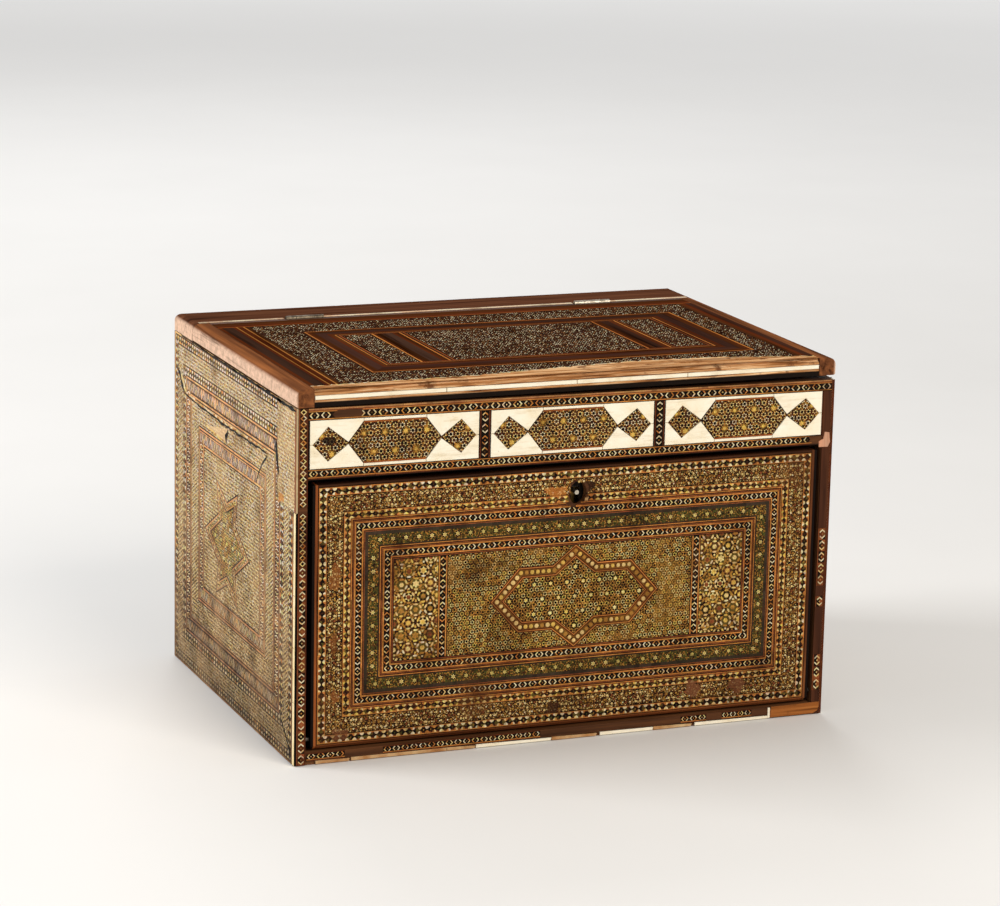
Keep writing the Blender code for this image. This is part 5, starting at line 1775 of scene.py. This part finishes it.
def lid_worn_edge():
    """The bare wood along the lid's front, where the mosaic has gone, with a paler broken rim that is worn
    and also a painted highlight.
    """
    left, _, right, _ = LID_EDGES
    cuts = np.linspace(left, right, round((right - left) / WORN_STEP) + 1)
    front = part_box("lid_front_lipping")[0].y / MM + WORN_FRONT_GAP
    depths = worn_depth(cuts)
    levels = (np.full(len(cuts), front), depths - WORN_HIGHLIGHT_RIM, depths)
    near, middle, far = (np.column_stack((cuts, level)) for level in levels)
    wood, rim = Sheet(LID_FACE, 55), Sheet(LID_FACE, 56)
    wood.add(strips(near, middle), wood.choose("bone", len(cuts) - 1))
    # The rim's pale colours are wear and a painted highlight along the edge
    rim.add(strips(middle, far), rim.choose("cream bone sand", len(cuts) - 1))
    wood.build("lid_worn_edge", "lid", WORN_TOP, SPECK_HEIGHT, slot="pale_wood")
    rim.build("lid_worn_rim_highlight", "lid", LID_KHATAM, SPECK_HEIGHT, slot="pale_wood")


def lid_bone():
    """The bone line along the lid's front edge, in butted lengths."""
    low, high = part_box("lid_front_bone")
    face = front_face(0, low.y, low.z)
    top = (high.z - low.z) / MM
    cuts = (low.x / MM, *LID_BONE_JOINTS, high.x / MM)
    outlines = [rectangle(left + LID_BONE_GAP, 0, right - LID_BONE_GAP, top)
                for left, right in zip(cuts, cuts[1:])]
    bone_pieces("lid_bone_lengths", "lid", face, outlines, LID_BONE_LEVEL, BONE, "lid_front_bone")


def lid_borders(along, across):
    """The plain wood at the lid's left, right and back, and the mitred frame round its panel."""
    left, low, right, high = LID_EDGES
    near, _, far, back = LID_MOSAIC
    upright_shares(across, left, near, low, back, LID_LEFT_LINES)
    upright_shares(across, far, right, low, back, LID_RIGHT_LINES)
    depth = high - back
    for paint, share in LID_BACK_LINES:
        line = rectangle(left, high - depth, right, high - depth * (1 - share))
        along.add([line], along.choose(paint, 1))
        depth *= 1 - share
    mitred_lines(along, across, LID_WOOD, LID_PANEL, LID_WOOD_LINES)


def lid_top():
    """The lid's wood and speckled mosaic, up to its worn front edge."""
    mosaic, specks = Sheet(LID_FACE, 51), Sheet(LID_FACE, 54)
    along, across = Sheet(LID_FACE, 52), Sheet(LID_FACE, 53)
    lid_borders(along, across)
    a, b, c, d = LID_MOSAIC
    p, q, r, s = LID_WOOD
    boxes = [(a, b, c, q), (a, s, c, d), (a, q, p, s), (r, q, c, s)]
    left, low, right, high = LID_PANEL
    for start, end in LID_BARS:
        boxes.append((left, low, start, high))
        upright_shares(across, start, end, low, high, LID_WOOD_LINES)
        left = end
    boxes.append((left, low, right, high))
    for box in boxes:
        speckled_field(mosaic, specks, box)
    for sheet in (mosaic, specks, along, across):
        sheet.losses.append(lambda points: points[:, 1] < worn_depth(points[:, 0]) - WORN_OVERLAP)
    mosaic.build("lid_mosaic", "lid", LID_KHATAM)
    specks.build("lid_specks", "lid", LID_KHATAM, SPECK_HEIGHT)
    along.build("lid_bands_along", "lid", BANDS_X, slot="red_wood")
    across.build("lid_bands_across", "lid", BANDS_Y, slot="red_wood")


def rear_joint():
    """A painted highlight along the rear rail's edge at the lid's joint, between and beside the hinges."""
    low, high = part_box("rear_top_rail")
    sheet = Sheet(top_face(high.z), 57)
    hinge_low, hinge_high = (corner.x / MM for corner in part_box("right_hinge_fixed_leaf"))
    reach = high.x / MM - REAR_JOINT_END
    inner, outer = hinge_low - HINGE_GAP, hinge_high + HINGE_GAP
    start, end = (low.y / MM + depth for depth in REAR_JOINT)
    for left, right in ((-reach, -outer), (-inner, inner), (outer, reach)):
        stringing(sheet, Run(left, start, right, end, False), "amber")
    # The pale colour that the line is moved towards is a painted highlight
    sheet.fade(58, 30, base=0.85, swing=0.3, limit=0.95, paint=(255, 234, 212))
    sheet.build("rear_joint_highlight", "carcass", LID_KHATAM, REAR_JOINT_HEIGHT, slot="pale_wood")


# Stage

CAMERA_PLACE = (-0.8431, -2.0952, 0.6808)
CAMERA_TURN = math.radians(21.99)
CAMERA_RISE = math.radians(-13.05)
CAMERA_ROLL = math.radians(1.24)
CAMERA_LENS = 127.8
CAMERA_SENSOR = 36
FLOOR_REACH = 14.0
FLOOR_ROUGHNESS = 0.75
FAR_FLOOR = (1.2, 5.0)
FAR_GLOW = 0.4
SKY_STRENGTH = 0.45
LAMP_TARGET = (0, 0, 0.12)

# Soft lamps in front, at the left, and behind for the lid's edge: name, place, size, power and colour
LAMPS = (
    ("front_lamp", (0.7, -2.6, 1.9), 1.6, 66, (255, 246, 234)),
    ("left_lamp", (-2.3, 0.7, 1.2), 1.4, 56, WHITE),
    ("back_lamp", (0.4, 2.4, 1.9), 1.2, 20, WHITE),
)


def add_camera():
    """The camera at the place and turn that were fitted to the photograph."""
    forward = Vector((math.sin(CAMERA_TURN) * math.cos(CAMERA_RISE),
                      math.cos(CAMERA_TURN) * math.cos(CAMERA_RISE), math.sin(CAMERA_RISE)))
    level_right = Vector((math.cos(CAMERA_TURN), -math.sin(CAMERA_TURN), 0))
    level_up = level_right.cross(forward)
    right = math.cos(CAMERA_ROLL) * level_right + math.sin(CAMERA_ROLL) * level_up
    up = -math.sin(CAMERA_ROLL) * level_right + math.cos(CAMERA_ROLL) * level_up
    data = bpy.data.cameras.new("camera")
    data.lens = CAMERA_LENS
    data.sensor_width = CAMERA_SENSOR
    data.sensor_fit = "HORIZONTAL"
    camera = bpy.data.objects.new("camera", data)
    bpy.context.scene.collection.objects.link(camera)
    turn = Matrix((right, up, -forward)).transposed().to_4x4()
    camera.matrix_world = Matrix.Translation(CAMERA_PLACE) @ turn
    bpy.context.scene.camera = camera


def far_floor_glow(graph):
    """A glow that keeps the far floor as pale to the eye as the near floor, where the lamps don't reach."""
    distance = graph.add("VectorMath", {0: graph.where()}, operation="LENGTH").outputs["Value"]
    glow = graph.level(distance, 0.0, FAR_GLOW, *FAR_FLOOR)
    rays = graph.add("LightPath").outputs
    seen = rays["Is Camera Ray"]
    for ray in ("Is Glossy Ray", "Is Transmission Ray"):
        seen = graph.calculate("MAXIMUM", seen, rays[ray])
    return graph.calculate("MULTIPLY", glow, seen)


def add_floor():
    """A wide pale floor with faint unevenness."""
    mesh = bpy.data.meshes.new("floor")
    corners = rectangle(-FLOOR_REACH, -FLOOR_REACH, FLOOR_REACH, FLOOR_REACH)
    mesh.from_pydata([(x, y, 0) for x, y in corners], [], [(0, 1, 2, 3)])
    graph = Graph("floor_paint")
    mesh.materials.append(graph.finish({
        "Base Color": graph.ramp(graph.noise(3, 3), (0.3, (227, 226, 224)), (0.7, (230, 229, 227))),
        "Roughness": FLOOR_ROUGHNESS,
        "Emission Color": (1, 1, 1, 1),
        "Emission Strength": far_floor_glow(graph),
    }))
    floor = bpy.data.objects.new("floor", mesh)
    bpy.context.scene.collection.objects.link(floor)


def add_lamp(name, place, size, power, colour):
    """A square lamp that shines at the casket."""
    data = bpy.data.lights.new(name, "AREA")
    data.size = size
    data.energy = power
    data.color = linear(colour)
    lamp = bpy.data.objects.new(name, data)
    lamp.location = place
    lamp.rotation_euler = (Vector(LAMP_TARGET) - Vector(place)).to_track_quat("-Z", "Y").to_euler()
    bpy.context.scene.collection.objects.link(lamp)


def add_light():
    """A pale world and the soft lamps."""
    world = bpy.data.worlds.new("studio")
    bpy.context.scene.world = world
    world.use_nodes = True
    sky = world.node_tree.nodes["Background"]
    sky.inputs["Color"].default_value = (1, 1, 1, 1)
    sky.inputs["Strength"].default_value = SKY_STRENGTH
    for lamp in LAMPS:
        add_lamp(*lamp)


finish_cad_nodes()
fall_mosaic()
rail_mosaic()
stile_mosaic("left", 43)
stile_mosaic("right", 44)
bottom_edge()
bottom_bone()
front_blocks()
corner_strips()
side_mosaic("left", 61)
side_mosaic("right", 65)
back_mosaic(71)
lid_top()
lid_worn_edge()
lid_bone()
rear_joint()
add_camera()
add_floor()
add_light()
bpy.context.scene.view_settings.view_transform = "Standard"
